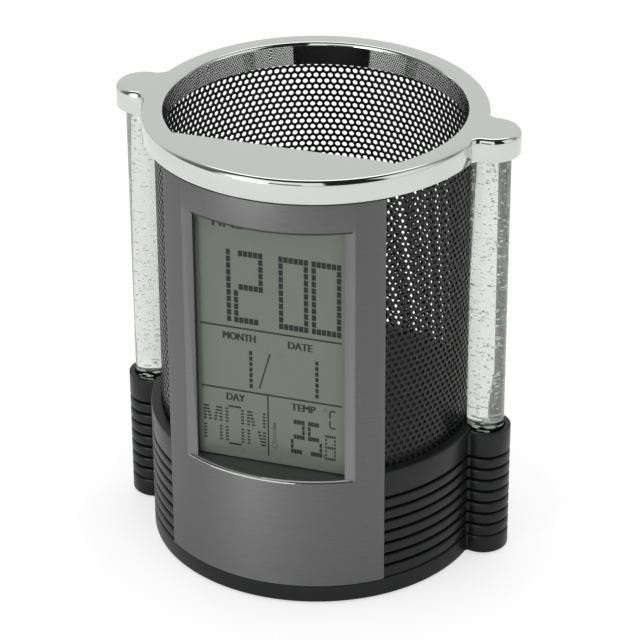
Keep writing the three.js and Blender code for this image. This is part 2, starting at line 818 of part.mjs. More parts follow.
function buildCaseBack() {
  const sideEnd = Math.sqrt(Math.min(panelInner, skirtInner) ** 2 - caseHalf ** 2) - gap;
  let body = block(-caseHalf, caseHalf, -sideEnd, -casePlane, baseTopZ, tuckTopZ);
  body = body.subtract(block(-caseInnerHalf, caseInnerHalf, -ringRadius, -caseInnerPlane, 0,
    totalHeight + overrun));
  for (const side of sides) {
    const x = side * deckScrewOffset;
    const bossBack = -casePlane - caseWall / 2;
    body = body.add(block(x - caseBossHalf, x + caseBossHalf, -zebraPlane, bossBack, baseTopZ,
      caseBossTopZ));
    body = body.subtract(roundZ(screwHole, baseTopZ - overrun, baseTopZ + caseBossHeight - overrun, x,
      -deckScrewPlane()));
    body = body.subtract(roundY(screwHole, -caseInnerPlane - overrun, -casePlane + overrun,
      side * caseScrewOffset, caseScrewZ));
  }
  return piece('case_back', body, blackPlastic);
}

// Keys

function buildKeys() {
  const profile = [
    [0, keyStemEnd],
    [keyStemRadius, keyStemEnd],
    [keyStemRadius, keyFlangeBack],
    [keyFlangeRadius, keyFlangeBack],
    [keyFlangeRadius, keyFlangeFront],
    [keyRadius, keyFlangeFront],
    [keyRadius, keypadPlane + keyProud],
    [0, keypadPlane + keyProud],
  ];
  const keys = [];
  for (let i = 0; i < keyCount; i += 1) {
    const key = piece(`button_${i + 1}`, lathe(profile), blackPlastic);
    key.position.set(keyX(i), 0, keyZ);
    const half = switchSize / 2;
    const body = block(-half, half, switchBottom, switchTop, -half, half)
      .add(roundY(plungerRadius, switchBottom + switchBody / 2, plungerTop, 0, 0));
    const keySwitch = piece(`key_switch_${i + 1}`, body, darkSteel);
    keySwitch.position.set(keyX(i), 0, keyZ);
    keys.push(key, keySwitch);
  }
  return keys;
}

function buildKeyBoard() {
  const half = keyPostX + keyPostRadius;
  const [z0, z1] = [keyZ - keyBoardHalfHeight, keyZ + keyBoardHalfHeight];
  let body = block(-half, half, keyBoardBack, keyBoardFront, z0, z1);
  for (const side of sides) {
    body = body.subtract(roundY(keyScrewHole, keyBoardBack - overrun, keyBoardFront + overrun,
      side * keyPostX, keyZ));
  }
  return piece('key_board', body, boardGreen);
}

// Screws: each is turned about X to point up, forwards or backwards

function placeScrew(name, solid, turn, x, y, z) {
  const mesh = piece(name, solid, darkSteel);
  mesh.rotation.x = turn;
  mesh.position.set(x, y, z);
  return mesh;
}

function buildScrews() {
  const small = (length) => screw(screwHead, screwShaft, length);
  const panelScrew = screw(panelScrewHead, screwShaft, panelScrewLength);
  const keyScrew = screw(keyScrewHead, keyScrewShaft, keyScrewLength);
  const coverScrews = [];
  const others = [];
  sides.forEach((side, i) => {
    for (const end of sides) {
      coverScrews.push(placeScrew(`cover_screw_${coverScrews.length + 1}`, small(coverScrewLength), back,
        side * coverScrewX, end * coverScrewY, coverHeadZ()));
    }
    others.push(placeScrew(`deck_screw_${i + 1}`, small(deckScrewLength), back,
      side * deckScrewOffset, -deckScrewPlane(), deckUnderZ - gap));
    others.push(placeScrew(`case_screw_${i + 1}`, small(caseScrewLength), Math.PI,
      side * caseScrewOffset, -casePlane + gap, caseScrewZ));
    others.push(placeScrew(`panel_screw_${i + 1}`, panelScrew, Math.PI,
      side * panelScrewOffset, -panelBossPlane + gap, panelScrewZ));
    others.push(placeScrew(`key_screw_${i + 1}`, keyScrew, 0,
      side * keyPostX, keyBoardBack - gap, keyZ));
  });
  return [...coverScrews, ...others];
}

// Assembly

function assemble(...parts) {
  const group = new THREE.Group();
  group.add(...parts.flat());
  return group;
}

const base = assemble(buildBaseShell(), buildBottomCover(), buildBatteryDoor(), buildFeet());
const power = assemble(buildCells(), buildContacts(), buildBuzzer(), buildLamps());
const keypad = assemble(buildKeys(), buildKeyBoard());
const holder = assemble(buildMeshCup(), buildTopRing(), buildPillars());
const clock = assemble(buildFrontPanel(), buildLcdFrame(), buildLcdGlass(), buildZebra(),
  buildMainBoard(), buildThermistor(), buildCaseBack());
const model = assemble(base, power, keypad, holder, clock, buildScrews());

export default model;
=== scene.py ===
"""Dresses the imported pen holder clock: a perforated steel cup in a ribbed base, with a chrome ring,
two bubble-filled pillars and a curved panel that holds a dot-matrix clock.

Sizes in the classes are millimetres in the model's own frame: Z up, the clock faces -Y, z = 0 is the
table. Meshes are made in metres.
"""

import logging
import math
import random
from dataclasses import dataclass
from enum import Enum
from itertools import chain
from typing import Any, Callable, Iterable, Iterator, Sequence

import bpy
import numpy as np
from mathutils import Matrix, Vector


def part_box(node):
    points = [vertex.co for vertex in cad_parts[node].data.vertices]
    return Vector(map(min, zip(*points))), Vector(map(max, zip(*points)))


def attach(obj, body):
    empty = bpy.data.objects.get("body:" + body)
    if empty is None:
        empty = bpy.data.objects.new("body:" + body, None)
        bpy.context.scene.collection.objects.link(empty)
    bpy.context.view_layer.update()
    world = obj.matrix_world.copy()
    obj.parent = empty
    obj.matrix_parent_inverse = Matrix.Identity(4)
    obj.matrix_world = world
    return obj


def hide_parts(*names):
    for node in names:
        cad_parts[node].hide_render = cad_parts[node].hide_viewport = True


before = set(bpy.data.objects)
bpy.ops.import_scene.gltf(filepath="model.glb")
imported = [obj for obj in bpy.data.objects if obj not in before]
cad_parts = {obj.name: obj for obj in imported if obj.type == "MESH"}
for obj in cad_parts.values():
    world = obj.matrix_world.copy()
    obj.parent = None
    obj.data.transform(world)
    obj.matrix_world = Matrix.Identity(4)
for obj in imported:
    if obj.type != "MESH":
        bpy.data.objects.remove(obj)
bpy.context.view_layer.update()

# One millimetre in Blender's metres.
MM = 0.001
# Width and height of the picture in pixels, and width of the camera's sensor.
PICTURE = 640
SENSOR_MM = 36.0
TOP = Vector((0.0, 0.0, 1.0))
# Two places that are closer than this, in millimetres, count as one.
NEAR = 0.01
# How far a cutter reaches past the face that it goes through, in millimetres.
PAST = 1.0
# Ends of cutters that lie well outside of the clock, in millimetres.
ASIDE = 50.0
FAR = 60.0
ABOVE = 200.0
# Faces round a full circle that is as wide as the clock.
ROUND = 176
# A face stands upright if its normal has less than this along Z.
UPRIGHT = 0.1
# Nearly all values of a noise texture lie between these.
NOISE_LOW, NOISE_HIGH = 0.3, 0.7

Piece = bpy.types.Object
Tree = bpy.types.NodeTree
Node = bpy.types.Node
Socket = bpy.types.NodeSocket
Material = bpy.types.Material
# Two numbers, such as a place in plan or the ends of a range.
Pair = tuple[float, float]
# A bubble's middle and its half sizes, in millimetres.
Spot = tuple[Vector, Vector]
# A tile on the display: its left, bottom, right and top, in millimetres.
Tile = tuple[float, float, float, float]
# Bearings in degrees and the brightness of the wall there.
Stops = tuple[Pair, ...]

log = logging.getLogger("pen_holder_clock")


class Slot(Enum):
    """The record's material slots, listed for the scene's own pieces."""

    CHROME = "chrome"
    PLASTIC = "black_plastic"
    STEEL = "black_steel"
    PANEL = "panel_grey"
    ACRYLIC = "acrylic"
    DISPLAY = "display"
    SCREW = "screw_steel"
    RUBBER = "rubber"


class Side(Enum):
    """Which side of the clock, as the sign of X."""

    LEFT = -1
    RIGHT = 1


def linear(code: str, alpha: float = 1.0) -> tuple[float, float, float, float]:
    """Turn an sRGB hex code into a linear colour.

    Args:
        code: six hex digits, with or without a leading #.
        alpha: the fourth value.

    Returns:
        The linear colour as four numbers.
    """
    digits = code.lstrip("#")
    parts = [int(digits[i:i + 2], 16) / 255 for i in (0, 2, 4)]
    turned = [p / 12.92 if p <= 0.04045 else ((p + 0.055) / 1.055) ** 2.4 for p in parts]
    return (turned[0], turned[1], turned[2], alpha)


def per_metre(size_mm: float) -> float:
    """Return the texture scale at which a pattern repeats about every size_mm."""
    return 1.0 / (size_mm * MM)


def feed(node: Node, inputs: dict[Any, Any]) -> None:
    """Give a node inputs, by name or number: a value each, or a socket to link from."""
    for key, value in inputs.items():
        if isinstance(value, Socket):
            node.id_data.links.new(value, node.inputs[key])
        else:
            node.inputs[key].default_value = value


def add_node(tree: Tree, kind: str, inputs: dict[Any, Any] | None = None,
             **settings: Any) -> Node:
    """Add one node with its settings and its inputs.

    Args:
        tree: the tree that gets the node.
        kind: the node's type name.
        inputs: for each input name or number, a value or a socket to link from.
        settings: attributes of the node.

    Returns:
        The new node.
    """
    made = tree.nodes.new(kind)
    for key, value in settings.items():
        setattr(made, key, value)
    feed(made, inputs or {})
    return made


def find_node(tree: Tree, kind: str) -> Node:
    """Return the first node of a kind."""
    return next(n for n in tree.nodes if n.type == kind)


@dataclass(frozen=True)
class Finish:
    """A surface finish: a plain moulded or painted skin with mottle and grain.

    Attributes:
        title: name of the material.
        colour: sRGB hex code.
        roughness: middle of the roughness range.
        metallic: share of metal.
        ior: index of refraction.
        sheen: share of the reflection that the index gives, where 0.5 is all of it.
        grain_mm: size of the grain in the skin.
        grain_height_mm: height of that grain.
        mottle: how far the colour and the roughness wander.
        mottle_mm: size of the patches that they wander in.
    """

    title: str
    colour: str
    roughness: float
    metallic: float = 0.0
    ior: float = 1.5
    sheen: float = 0.5
    grain_mm: float = 0.25
    grain_height_mm: float = 0.004
    mottle: float = 0.1
    mottle_mm: float = 9.0

    def build(self) -> Material:
        """Make the material.

        Returns:
            The material, with its nodes in place.
        """
        made = bpy.data.materials.new(self.title)
        made.use_nodes = True
        tree = made.node_tree
        shader = find_node(tree, "BSDF_PRINCIPLED")
        feed(shader, {"Base Color": linear(self.colour), "Roughness": self.roughness,
                      "Metallic": self.metallic})
        if self.metallic < 1.0:
            feed(shader, {"IOR": self.ior, "Specular IOR Level": self.sheen})
        place = add_node(tree, "ShaderNodeTexCoord").outputs["Object"]
        self.dress(tree, shader, place)
        return made

    def dress(self, tree: Tree, shader: Node, place: Socket) -> None:
        """Add the pattern of this finish: mottled colour and roughness, and a grained skin.

        Args:
            tree: the material's tree.
            shader: its surface shader.
            place: object coordinates in metres.
        """
        patches = add_node(tree, "ShaderNodeTexNoise", {
            "Vector": place, "Scale": per_metre(self.mottle_mm), "Detail": 4.0, "Roughness": 0.6})
        self.wander(tree, shader, patches.outputs["Fac"])
        grain = add_node(tree, "ShaderNodeTexNoise", {
            "Vector": place, "Scale": per_metre(self.grain_mm), "Detail": 2.0})
        self.emboss(tree, shader, grain.outputs["Fac"], self.grain_height_mm)

    def wander(self, tree: Tree, shader: Node, pattern: Socket) -> None:
        """Let the colour and the roughness follow a pattern.

        Args:
            tree: the material's tree.
            shader: its surface shader.
            pattern: values from 0 to 1.
        """
        base = linear(self.colour)
        dark = tuple(c * (1.0 - self.mottle) for c in base[:3]) + (1.0,)
        light = tuple(min(1.0, c * (1.0 + self.mottle)) for c in base[:3]) + (1.0,)
        mixed = add_node(tree, "ShaderNodeMix", {0: pattern, 6: dark, 7: light}, data_type="RGBA")
        feed(shader, {"Base Color": mixed.outputs[2]})
        span = self.roughness * self.mottle
        rough = add_node(tree, "ShaderNodeMapRange", {
            "Value": pattern, "From Min": NOISE_LOW, "From Max": NOISE_HIGH,
            "To Min": self.roughness - span, "To Max": self.roughness + span})
        feed(shader, {"Roughness": rough.outputs["Result"]})

    def emboss(self, tree: Tree, shader: Node, pattern: Socket,
               height_mm: float) -> None:
        """Raise the skin by a pattern.

        Args:
            tree: the material's tree.
            shader: its surface shader.
            pattern: values from 0 to 1.
            height_mm: the height that the value 1 stands for.
        """
        bump = add_node(tree, "ShaderNodeBump", {
            "Height": pattern, "Strength": 1.0, "Distance": height_mm * MM})
        feed(shader, {"Normal": bump.outputs["Normal"]})


@dataclass(frozen=True)
class ChromePlate(Finish):
    """Bright chrome on moulded ABS: mirror-like, with the long soft waves of the moulding under it.

    Attributes:
        handling: how far the roughness wanders, as a share of it.
    """

    handling: float = 0.4

    def dress(self, tree: Tree, shader: Node, place: Socket) -> None:
        """Add faint waves, which bend reflections slightly, and a trace of handling in the roughness."""
        waves = add_node(tree, "ShaderNodeTexNoise", {
            "Vector": place, "Scale": per_metre(self.mottle_mm), "Detail": 1.0})
        rough = add_node(tree, "ShaderNodeMapRange", {
            "Value": waves.outputs["Fac"], "From Min": NOISE_LOW, "From Max": NOISE_HIGH,
            "To Min": self.roughness * (1.0 - self.handling),
            "To Max": self.roughness * (1.0 + self.handling)})
        feed(shader, {"Roughness": rough.outputs["Result"]})
        self.emboss(tree, shader, waves.outputs["Fac"], self.grain_height_mm)


@dataclass(frozen=True)
class BrushedPlate(Finish):
    """Grey metal brushed round the panel: highlights stretch upright, and fine level lines show close up.

    Attributes:
        stretch: how far highlights are drawn out along Z.
        line_mm: spacing of the lines.
        run: share to which the pattern is squeezed along X and Y, which draws the lines out.
        line_range: values of the noise that become a dark and a light line.
        patch_share: how much of the pattern is cloudy patches and not lines.
    """

    stretch: float = 0.6
    line_mm: float = 0.4
    run: float = 0.1
    line_range: Pair = (0.35, 0.65)
    patch_share: float = 0.3

    def dress(self, tree: Tree, shader: Node, place: Socket) -> None:
        """Stretch the highlight along Z and add the lines, drawn at 0.4 mm, coarser than life, to show."""
        upright = add_node(tree, "ShaderNodeCombineXYZ", {"Z": 1.0})
        feed(shader, {"Anisotropic": self.stretch, "Tangent": upright.outputs["Vector"]})
        squeezed = add_node(tree, "ShaderNodeVectorMath", {0: place, 1: (self.run, self.run, 1.0)},
                            operation="MULTIPLY")
        lines = add_node(tree, "ShaderNodeTexNoise", {
            "Vector": squeezed.outputs["Vector"], "Scale": per_metre(self.line_mm), "Detail": 3.0})
        patches = add_node(tree, "ShaderNodeTexNoise", {
            "Vector": place, "Scale": per_metre(self.mottle_mm), "Detail": 5.0})
        strong = add_node(tree, "ShaderNodeMapRange", {
            "Value": lines.outputs["Fac"], "From Min": self.line_range[0], "From Max": self.line_range[1]})
        both = add_node(tree, "ShaderNodeMix", {
            0: self.patch_share, 2: strong.outputs["Result"], 3: patches.outputs["Fac"]})
        self.wander(tree, shader, both.outputs[0])
        self.emboss(tree, shader, lines.outputs["Fac"], self.grain_height_mm)


@dataclass(frozen=True)
class ClearSolid(Finish):
    """A clear solid, such as cast acrylic or epoxy: polished, with faint waves from casting.

    Attributes:
        haze: share of milk in it.
        milk: sRGB hex code of the milk.
        clear_mm: height up to which it has no haze, as the foot of a pillar is in its dark socket.
        fade_mm: height over which the haze then comes in.
    """

    haze: float = 0.0
    milk: str = "#F2F4F2"
    clear_mm: float = 36.0
    fade_mm: float = 2.5

    def dress(self, tree: Tree, shader: Node, place: Socket) -> None:
        """Let light through, and add the casting's waves and the haze."""
        feed(shader, {"Transmission Weight": 1.0})
        waves = add_node(tree, "ShaderNodeTexNoise", {
            "Vector": place, "Scale": per_metre(self.mottle_mm), "Detail": 1.0})
        self.emboss(tree, shader, waves.outputs["Fac"], self.grain_height_mm)
        cloud = add_node(tree, "ShaderNodeBsdfDiffuse", {"Color": linear(self.milk)})
        axes = add_node(tree, "ShaderNodeSeparateXYZ", {"Vector": place})
        share = add_node(tree, "ShaderNodeMapRange", {
            "Value": axes.outputs["Z"], "From Min": self.clear_mm * MM,
            "From Max": (self.clear_mm + self.fade_mm) * MM, "To Min": 0.0, "To Max": self.haze})
        blend = add_node(tree, "ShaderNodeMixShader", {
            0: share.outputs["Result"], 1: shader.outputs["BSDF"], 2: cloud.outputs["BSDF"]})
        feed(find_node(tree, "OUTPUT_MATERIAL"), {"Surface": blend.outputs["Shader"]})


@dataclass(frozen=True)
class AirBubble(Finish):
    """Air inside acrylic: its index is below 1, because light comes to it from the denser side.

    Attributes:
        uneven_mm: size of the patches in which a wall is smoother or rougher.
    """

    uneven_mm: float = 1.5

    def dress(self, tree: Tree, shader: Node, place: Socket) -> None:
        """Swap the surface shader for glass, which takes an index below 1, with faintly uneven walls."""
        patches = add_node(tree, "ShaderNodeTexNoise", {
            "Vector": place, "Scale": per_metre(self.uneven_mm)})
        rough = add_node(tree, "ShaderNodeMapRange", {
            "Value": patches.outputs["Fac"], "To Min": 0.0, "To Max": 2 * self.roughness})
        glass = add_node(tree, "ShaderNodeBsdfGlass", {
            "Color": linear(self.colour), "Roughness": rough.outputs["Result"], "IOR": self.ior})
        feed(find_node(tree, "OUTPUT_MATERIAL"), {"Surface": glass.outputs["BSDF"]})
        tree.nodes.remove(shader)


@dataclass(frozen=True)
class StripedElastomer(Finish):
    """Layers of carbon-filled and plain silicone, which carry the signals from the board to the display.

    Attributes:
        filled: sRGB hex code of the carbon-filled layers.
        layer_mm: thickness of a layer.
        wave_bands: how many bands a wave texture has in a metre at a scale of 1.
    """

    filled: str = "#2B2626"
    layer_mm: float = 0.5
    wave_bands: float = 6.28

    def dress(self, tree: Tree, shader: Node, place: Socket) -> None:
        """Add the layers as bands across the strip; they are drawn at 0.5 mm, coarser than life, to show."""
        scale = per_metre(self.layer_mm) / self.wave_bands
        bands = add_node(tree, "ShaderNodeTexWave", {"Vector": place, "Scale": scale},
                         wave_type="BANDS", bands_direction="X")
        mixed = add_node(tree, "ShaderNodeMix", {
            0: bands.outputs["Fac"], 6: linear(self.filled), 7: linear(self.colour)}, data_type="RGBA")
        feed(shader, {"Base Color": mixed.outputs[2]})


@dataclass(frozen=True)
class Palette:
    """Every finish on the clock, made once."""

    made: dict[str, Material]

    @staticmethod
    def finishes() -> dict[str, Finish]:
        """List the finishes.

        Returns:
            Each finish by the name that the sub-assemblies use.
        """
        return {
            # Bright chrome over polished ABS: reads as a mirror of the studio, slightly grey.
            "chrome": ChromePlate("chrome plated ABS", "#D9DBD9", 0.035, 1.0, mottle_mm=16.0,
                                  grain_height_mm=0.002),
            # Black ABS from a spark-eroded mould: deep satin black with a fine even grain.
            "base": Finish("black ABS, spark-eroded grain", "#161717", 0.32, ior=1.5, sheen=0.3, grain_mm=0.3,
                           grain_height_mm=0.004, mottle=0.12),
            # The same resin from a smoother mould, for inner frames and screws' seats.
            "inner": Finish("black ABS, smooth", "#191A1A", 0.33, ior=1.54, grain_mm=0.6,
                            grain_height_mm=0.002),
            # Matt frame round the display: a shade lighter, so that the ledge under the window reads.
            "frame": Finish("black ABS, matt", "#3A3C3B", 0.4, ior=1.54, grain_mm=0.5, grain_height_mm=0.003),
            # Stoved black enamel on perforated steel: semi-gloss, so hole edges catch light.
            "steel": Finish("black enamelled steel", "#0F100F", 0.3, ior=1.5, sheen=0.36, grain_mm=0.4,
                            grain_height_mm=0.003, mottle=0.15, mottle_mm=5.0),
            # Brushed grey metal: satin, with a soft upright highlight and fine level lines.
            "panel": BrushedPlate("brushed grey aluminium", "#717172", 0.52, 0.8, mottle=0.11, mottle_mm=1.2,
                                  grain_height_mm=0.003),
            # Painted highlight along the foot of the window, on its bevel, its bead and its crescent: a
            # bright line where light catches that edge.
            "cut": Finish("painted highlight on the window foot", "#DADAD9", 0.42, 0.35, grain_mm=0.3, grain_height_mm=0.001,
                          mottle=0.05, mottle_mm=2.0),
            # The same painted highlight, greyer and rougher: a dimmer line on the left of the bead, where the
            # highlight fades.
            "worn": Finish("painted dim highlight on the window foot", "#949493", 0.5, 0.3, grain_mm=0.3,
                           grain_height_mm=0.001, mottle=0.05, mottle_mm=2.0),
            # Cast acrylic: clear as glass, with a trace of green where the path is long.
            "acrylic": ClearSolid("cast acrylic", "#EBEEEA", 0.0, ior=1.49, grain_height_mm=0.001,
                                  mottle_mm=6.0, haze=0.09),
            # The same, with more fine air in it: the left pillar looks whiter.
            "milky": ClearSolid("cast acrylic, milkier", "#EDF0EC", 0.0, ior=1.49, grain_height_mm=0.001,
                                mottle_mm=6.0, haze=0.16),
            # Air caught in the acrylic: bright and dark lens-like specks.
            "bubble": AirBubble("air bubble in acrylic", "#FDFEFD", 0.03, ior=0.671),
            # Flat bubbles in plain diffuse white: painted glints, white specks that stand in for light
            # reflected off their flat walls.
            "frost": Finish("painted bubble glint", "#E6F4EE", 0.3, ior=1.3, grain_mm=0.1,
                            grain_height_mm=0.002),
            # Polarising film over the display: greenish grey, with a soft sheen.
            "display": Finish("polarising film on display glass", "#666C63", 0.28, ior=1.5, grain_mm=0.5,
                              grain_height_mm=0.0006, mottle=0.025, mottle_mm=12.0),
            # Switched-on liquid crystal segments: near black, a little green.
            "segment": Finish("dark liquid crystal segment", "#1D201D", 0.4, sheen=0.3, grain_height_mm=0.0),
            # Printed lines and words on the display glass.
            "print": Finish("screen-printed display ink", "#252824", 0.4, sheen=0.3, grain_height_mm=0.0),
            # Fine printed strokes look paler, because light bleeds in from both sides.
            "faint": Finish("thin display ink", "#4B504A", 0.35, grain_height_mm=0.0),
            # Foot pads: dull black rubber.
            "rubber": Finish("black foot rubber", "#222223", 0.85, grain_mm=0.5, grain_height_mm=0.02),
            # Solder mask over fibreglass: glossy green with a faint weave.
            "mask": Finish("green solder mask", "#1D5A38", 0.35, grain_mm=0.7, grain_height_mm=0.004),
            # Nickel-plated spring steel: bright, faintly brushed.
            "nickel": Finish("nickel-plated spring steel", "#B9BBBC", 0.22, 1.0, grain_mm=0.4,
                             grain_height_mm=0.002),
            # Black zinc on screws: dark metal, slightly worn.
            "zinc": Finish("black zinc plated steel", "#4A4B4D", 0.34, 1.0, grain_mm=0.3,
                           grain_height_mm=0.004, mottle=0.25, mottle_mm=2.0),
            # Moulded phenolic bodies of small electrical parts.
            "component": Finish("moulded phenolic", "#232324", 0.5, grain_mm=0.25, grain_height_mm=0.006),
            # Layered silicone connector.
            "elastomer": StripedElastomer("layered silicone", "#C9A7A4", 0.6),
            # Plain printed film round a cell, over a steel can.
            "film": Finish("plain cell film", "#3C6FA8", 0.3, 0.2, grain_height_mm=0.001, mottle=0.05),
            # Clear epoxy of the lamps.
            "epoxy": ClearSolid("clear epoxy", "#EEF4F1", 0.05, ior=1.53, grain_height_mm=0.001),
        }

    @classmethod
    def make(cls) -> "Palette":
        """Make every material once.

        Returns:
            The palette.
        """
        return cls({name: finish.build() for name, finish in cls.finishes().items()})

    def __getitem__(self, name: str) -> Material:
        """Return a material by the name that the sub-assemblies use."""
        return self.made[name]


def rest() -> None:
    """Leave edit mode and deselect everything, so that the next operator acts on its own piece only."""
    if bpy.context.object and bpy.context.object.mode != "OBJECT":
        bpy.ops.object.mode_set(mode="OBJECT")
    bpy.ops.object.select_all(action="DESELECT")


def hold(piece: Piece) -> None:
    """Make a piece the only selected one and the active one."""
    rest()
    piece.select_set(True)
    bpy.context.view_layer.objects.active = piece


def edit(kind: str = "VERT") -> None:
    """Enter edit mode, selecting by vertex, edge or face; the select flags of that kind are kept."""
    bpy.context.tool_settings.mesh_select_mode = [kind == each for each in ("VERT", "EDGE", "FACE")]
    bpy.ops.object.mode_set(mode="EDIT")


def leave() -> None:
    """Leave edit mode."""
    bpy.ops.object.mode_set(mode="OBJECT")


def select_whole() -> None:
    """Select all of the mesh that is being edited."""
    bpy.ops.mesh.select_all(action="SELECT")


def fresh(name: str) -> Piece:
    """Name the primitive that was just added, put its place into its mesh, and return it."""
    made = bpy.context.object
    made.name = name
    made.data.name = name
    bpy.ops.object.transform_apply(location=True, rotation=True, scale=True)
    return made


def cylinder(name: str, radius: float, z0: float, z1: float, at: Pair = (0.0, 0.0),
             sides: int = 96) -> Piece:
    """Add an upright cylinder.

    Args:
        name: the piece's name.
        radius: radius in millimetres.
        z0: its bottom.
        z1: its top.
        at: its middle in plan.
        sides: faces round it.

    Returns:
        The cylinder.
    """
    rest()
    bpy.ops.mesh.primitive_cylinder_add(vertices=sides, radius=radius * MM, depth=(z1 - z0) * MM,
                                        location=(at[0] * MM, at[1] * MM, (z0 + z1) / 2 * MM))
    return fresh(name)


def box(name: str, low: Sequence[float], high: Sequence[float]) -> Piece:
    """Add a box between two corners in millimetres, as the start of a piece or as a cutter."""
    rest()
    middle = [(a + b) / 2 * MM for a, b in zip(low, high)]
    bpy.ops.mesh.primitive_cube_add(size=1.0, location=middle)
    bpy.context.object.scale = [(b - a) * MM for a, b in zip(low, high)]
    return fresh(name)


def trace(name: str, start: Pair, z: float,
          arcs: Sequence[tuple[Pair, float, int]]) -> Piece:
    """Draw a closed outline by spinning one vertex round a chain of centres, and fill it.

    Args:
        name: the piece's name.
        start: where the vertex starts, in plan.
        z: the height of the outline.
        arcs: for each arc its centre, its angle in radians, counter-clockwise, and its steps.

    Returns:
        The outline as one flat face.
    """
    rest()
    bpy.ops.mesh.primitive_plane_add(size=MM)
    piece = bpy.context.object
    piece.name = name
    edit()
    bpy.ops.mesh.merge(type="CENTER")
    bpy.ops.transform.translate(value=(start[0] * MM, start[1] * MM, z * MM))
    for centre, angle, steps in arcs:
        bpy.ops.mesh.spin(steps=steps, angle=-angle, center=(centre[0] * MM, centre[1] * MM, z * MM),
                          axis=(0.0, 0.0, 1.0))
    select_whole()
    bpy.ops.mesh.remove_doubles(threshold=0.002 * MM)
    bpy.ops.mesh.edge_face_add()
    leave()
    return piece


def raise_face(piece: Piece, levels: Sequence[float]) -> None:
    """Extrude a flat outline up through a list of heights, and turn all faces outwards.

    Args:
        piece: an outline from trace.
        levels: heights in millimetres above the outline, in rising order.
    """
    hold(piece)
    edit()
    select_whole()
    last = 0.0
    for level in levels:
        move = (0.0, 0.0, (level - last) * MM)
        bpy.ops.mesh.extrude_region_move(TRANSFORM_OT_translate={"value": move})
        last = level
    select_whole()
    bpy.ops.mesh.normals_make_consistent(inside=False)
    leave()


def choose(piece: Piece, rule: Callable[[Vector, Vector], bool]) -> None:
    """Select the faces whose middle and normal meet a rule.

    Args:
        piece: the piece, in object mode.
        rule: takes a face's middle in millimetres and its normal.
    """
    for item in (*piece.data.vertices, *piece.data.edges):
        item.select = False
    for face in piece.data.polygons:
        face.select = rule(face.center / MM, face.normal)


def repeat(piece: Piece, copies: Iterable[tuple[np.ndarray, np.ndarray]]) -> None:
    """Put copies of a primitive into its mesh, in its own place.

    Args:
        piece: a primitive round the origin.
        copies: for each copy its middle in metres and its scale along each axis.
    """
    shape = np.array([v.co for v in piece.data.vertices])
    faces = [tuple(p.vertices) for p in piece.data.polygons]
    points: list[list[float]] = []
    all_faces: list[tuple[int, ...]] = []
    for middle, scale in copies:
        start = len(points)
        points.extend((shape * scale + middle).tolist())
        all_faces.extend(tuple(i + start for i in face) for face in faces)
    piece.data.clear_geometry()
    piece.data.from_pydata(points, [], all_faces)


def modify(piece: Piece, kind: str, **settings: Any) -> None:
    """Add a modifier with its settings to a piece and apply it.

    Args:
        piece: the piece.
        kind: the modifier's type.
        settings: attributes of the modifier.
    """
    hold(piece)
    added = piece.modifiers.new(kind.lower(), kind)
    for key, value in settings.items():
        setattr(added, key, value)
    bpy.ops.object.modifier_apply(modifier=added.name)


def combine(piece: Piece, tool: Piece, how: str = "DIFFERENCE") -> None:
    """Cut a piece with another, or join it on, and remove the tool.

    Args:
        piece: the piece that is changed.
        tool: the shape that cuts or joins.
        how: DIFFERENCE, UNION or INTERSECT.
    """
    modify(piece, "BOOLEAN", operation=how, object=tool, solver="EXACT")
    bpy.data.objects.remove(tool)


def soften(piece: Piece, width: float, segments: int = 2, angle: float = 35.0) -> None:
    """Round every edge sharper than an angle, and apply it.

    Args:
        piece: the piece.
        width: the rounding in millimetres.
        segments: faces across it.
        angle: edges flatter than this many degrees stay.
    """
    modify(piece, "BEVEL", width=width * MM, segments=segments, limit_method="ANGLE",
           angle_limit=math.radians(angle), use_clamp_overlap=True, miter_outer="MITER_ARC")


def round_edges(piece: Piece, rule: Callable[[Vector, Vector], bool], width: float,
                segments: int) -> None:
    """Round the edges whose two ends meet a rule.

    Args:
        piece: the piece.
        rule: takes both ends of an edge in millimetres.
        width: the rounding in millimetres.
        segments: faces across it.
    """
    hold(piece)
    places = [v.co / MM for v in piece.data.vertices]
    for item in (*piece.data.vertices, *piece.data.polygons):
        item.select = False
    for edge in piece.data.edges:
        edge.select = rule(places[edge.vertices[0]], places[edge.vertices[1]])
    edit("EDGE")
    bpy.ops.mesh.bevel(offset=width * MM, segments=segments, profile=0.5, affect="EDGES",
                       clamp_overlap=True)
    leave()


def tidy(piece: Piece, angle: float = 32.0) -> None:
    """Merge doubles, turn faces outwards and shade smooth, keeping edges sharper than an angle."""
    hold(piece)
    edit()
    select_whole()
    bpy.ops.mesh.remove_doubles(threshold=0.001 * MM)
    bpy.ops.mesh.normals_make_consistent(inside=False)
    leave()
    bpy.ops.object.shade_smooth_by_angle(angle=math.radians(angle))


def copy_of(node: str, name: str) -> Piece:
    """Copy a CAD node's mesh into a new object of its own, with its loose triangles merged.

    Args:
        node: the CAD node.
        name: the new piece's name.

    Returns:
        The copy.
    """
    rest()
    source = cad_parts[node]
    piece = bpy.data.objects.new(name, source.data.copy())
    bpy.context.scene.collection.objects.link(piece)
    piece.data.materials.clear()
    hold(piece)
    if piece.data.has_custom_normals:
        bpy.ops.mesh.customdata_custom_splitnormals_clear()
    edit()
    select_whole()
    bpy.ops.mesh.remove_doubles(threshold=0.0005 * MM)
    bpy.ops.mesh.dissolve_limited(angle_limit=math.radians(0.5))
    leave()
    return piece


def settle(piece: Piece, slot: Slot, finish: Material, *nodes: str, body: str = "housing") -> None:
    """Give a finished piece its material and its place in the frame.

    Args:
        piece: the piece.
        slot: the record's material slot; not used.
        finish: its material.
        nodes: the CAD nodes that it stands for.
        body: the CAD body that it rides on.
    """
    piece.data.materials.clear()
    piece.data.materials.append(finish)
    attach(piece, body)
    if nodes:
        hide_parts(*nodes)
    log.info("%s: %d faces on %s", piece.name, len(piece.data.polygons), body)


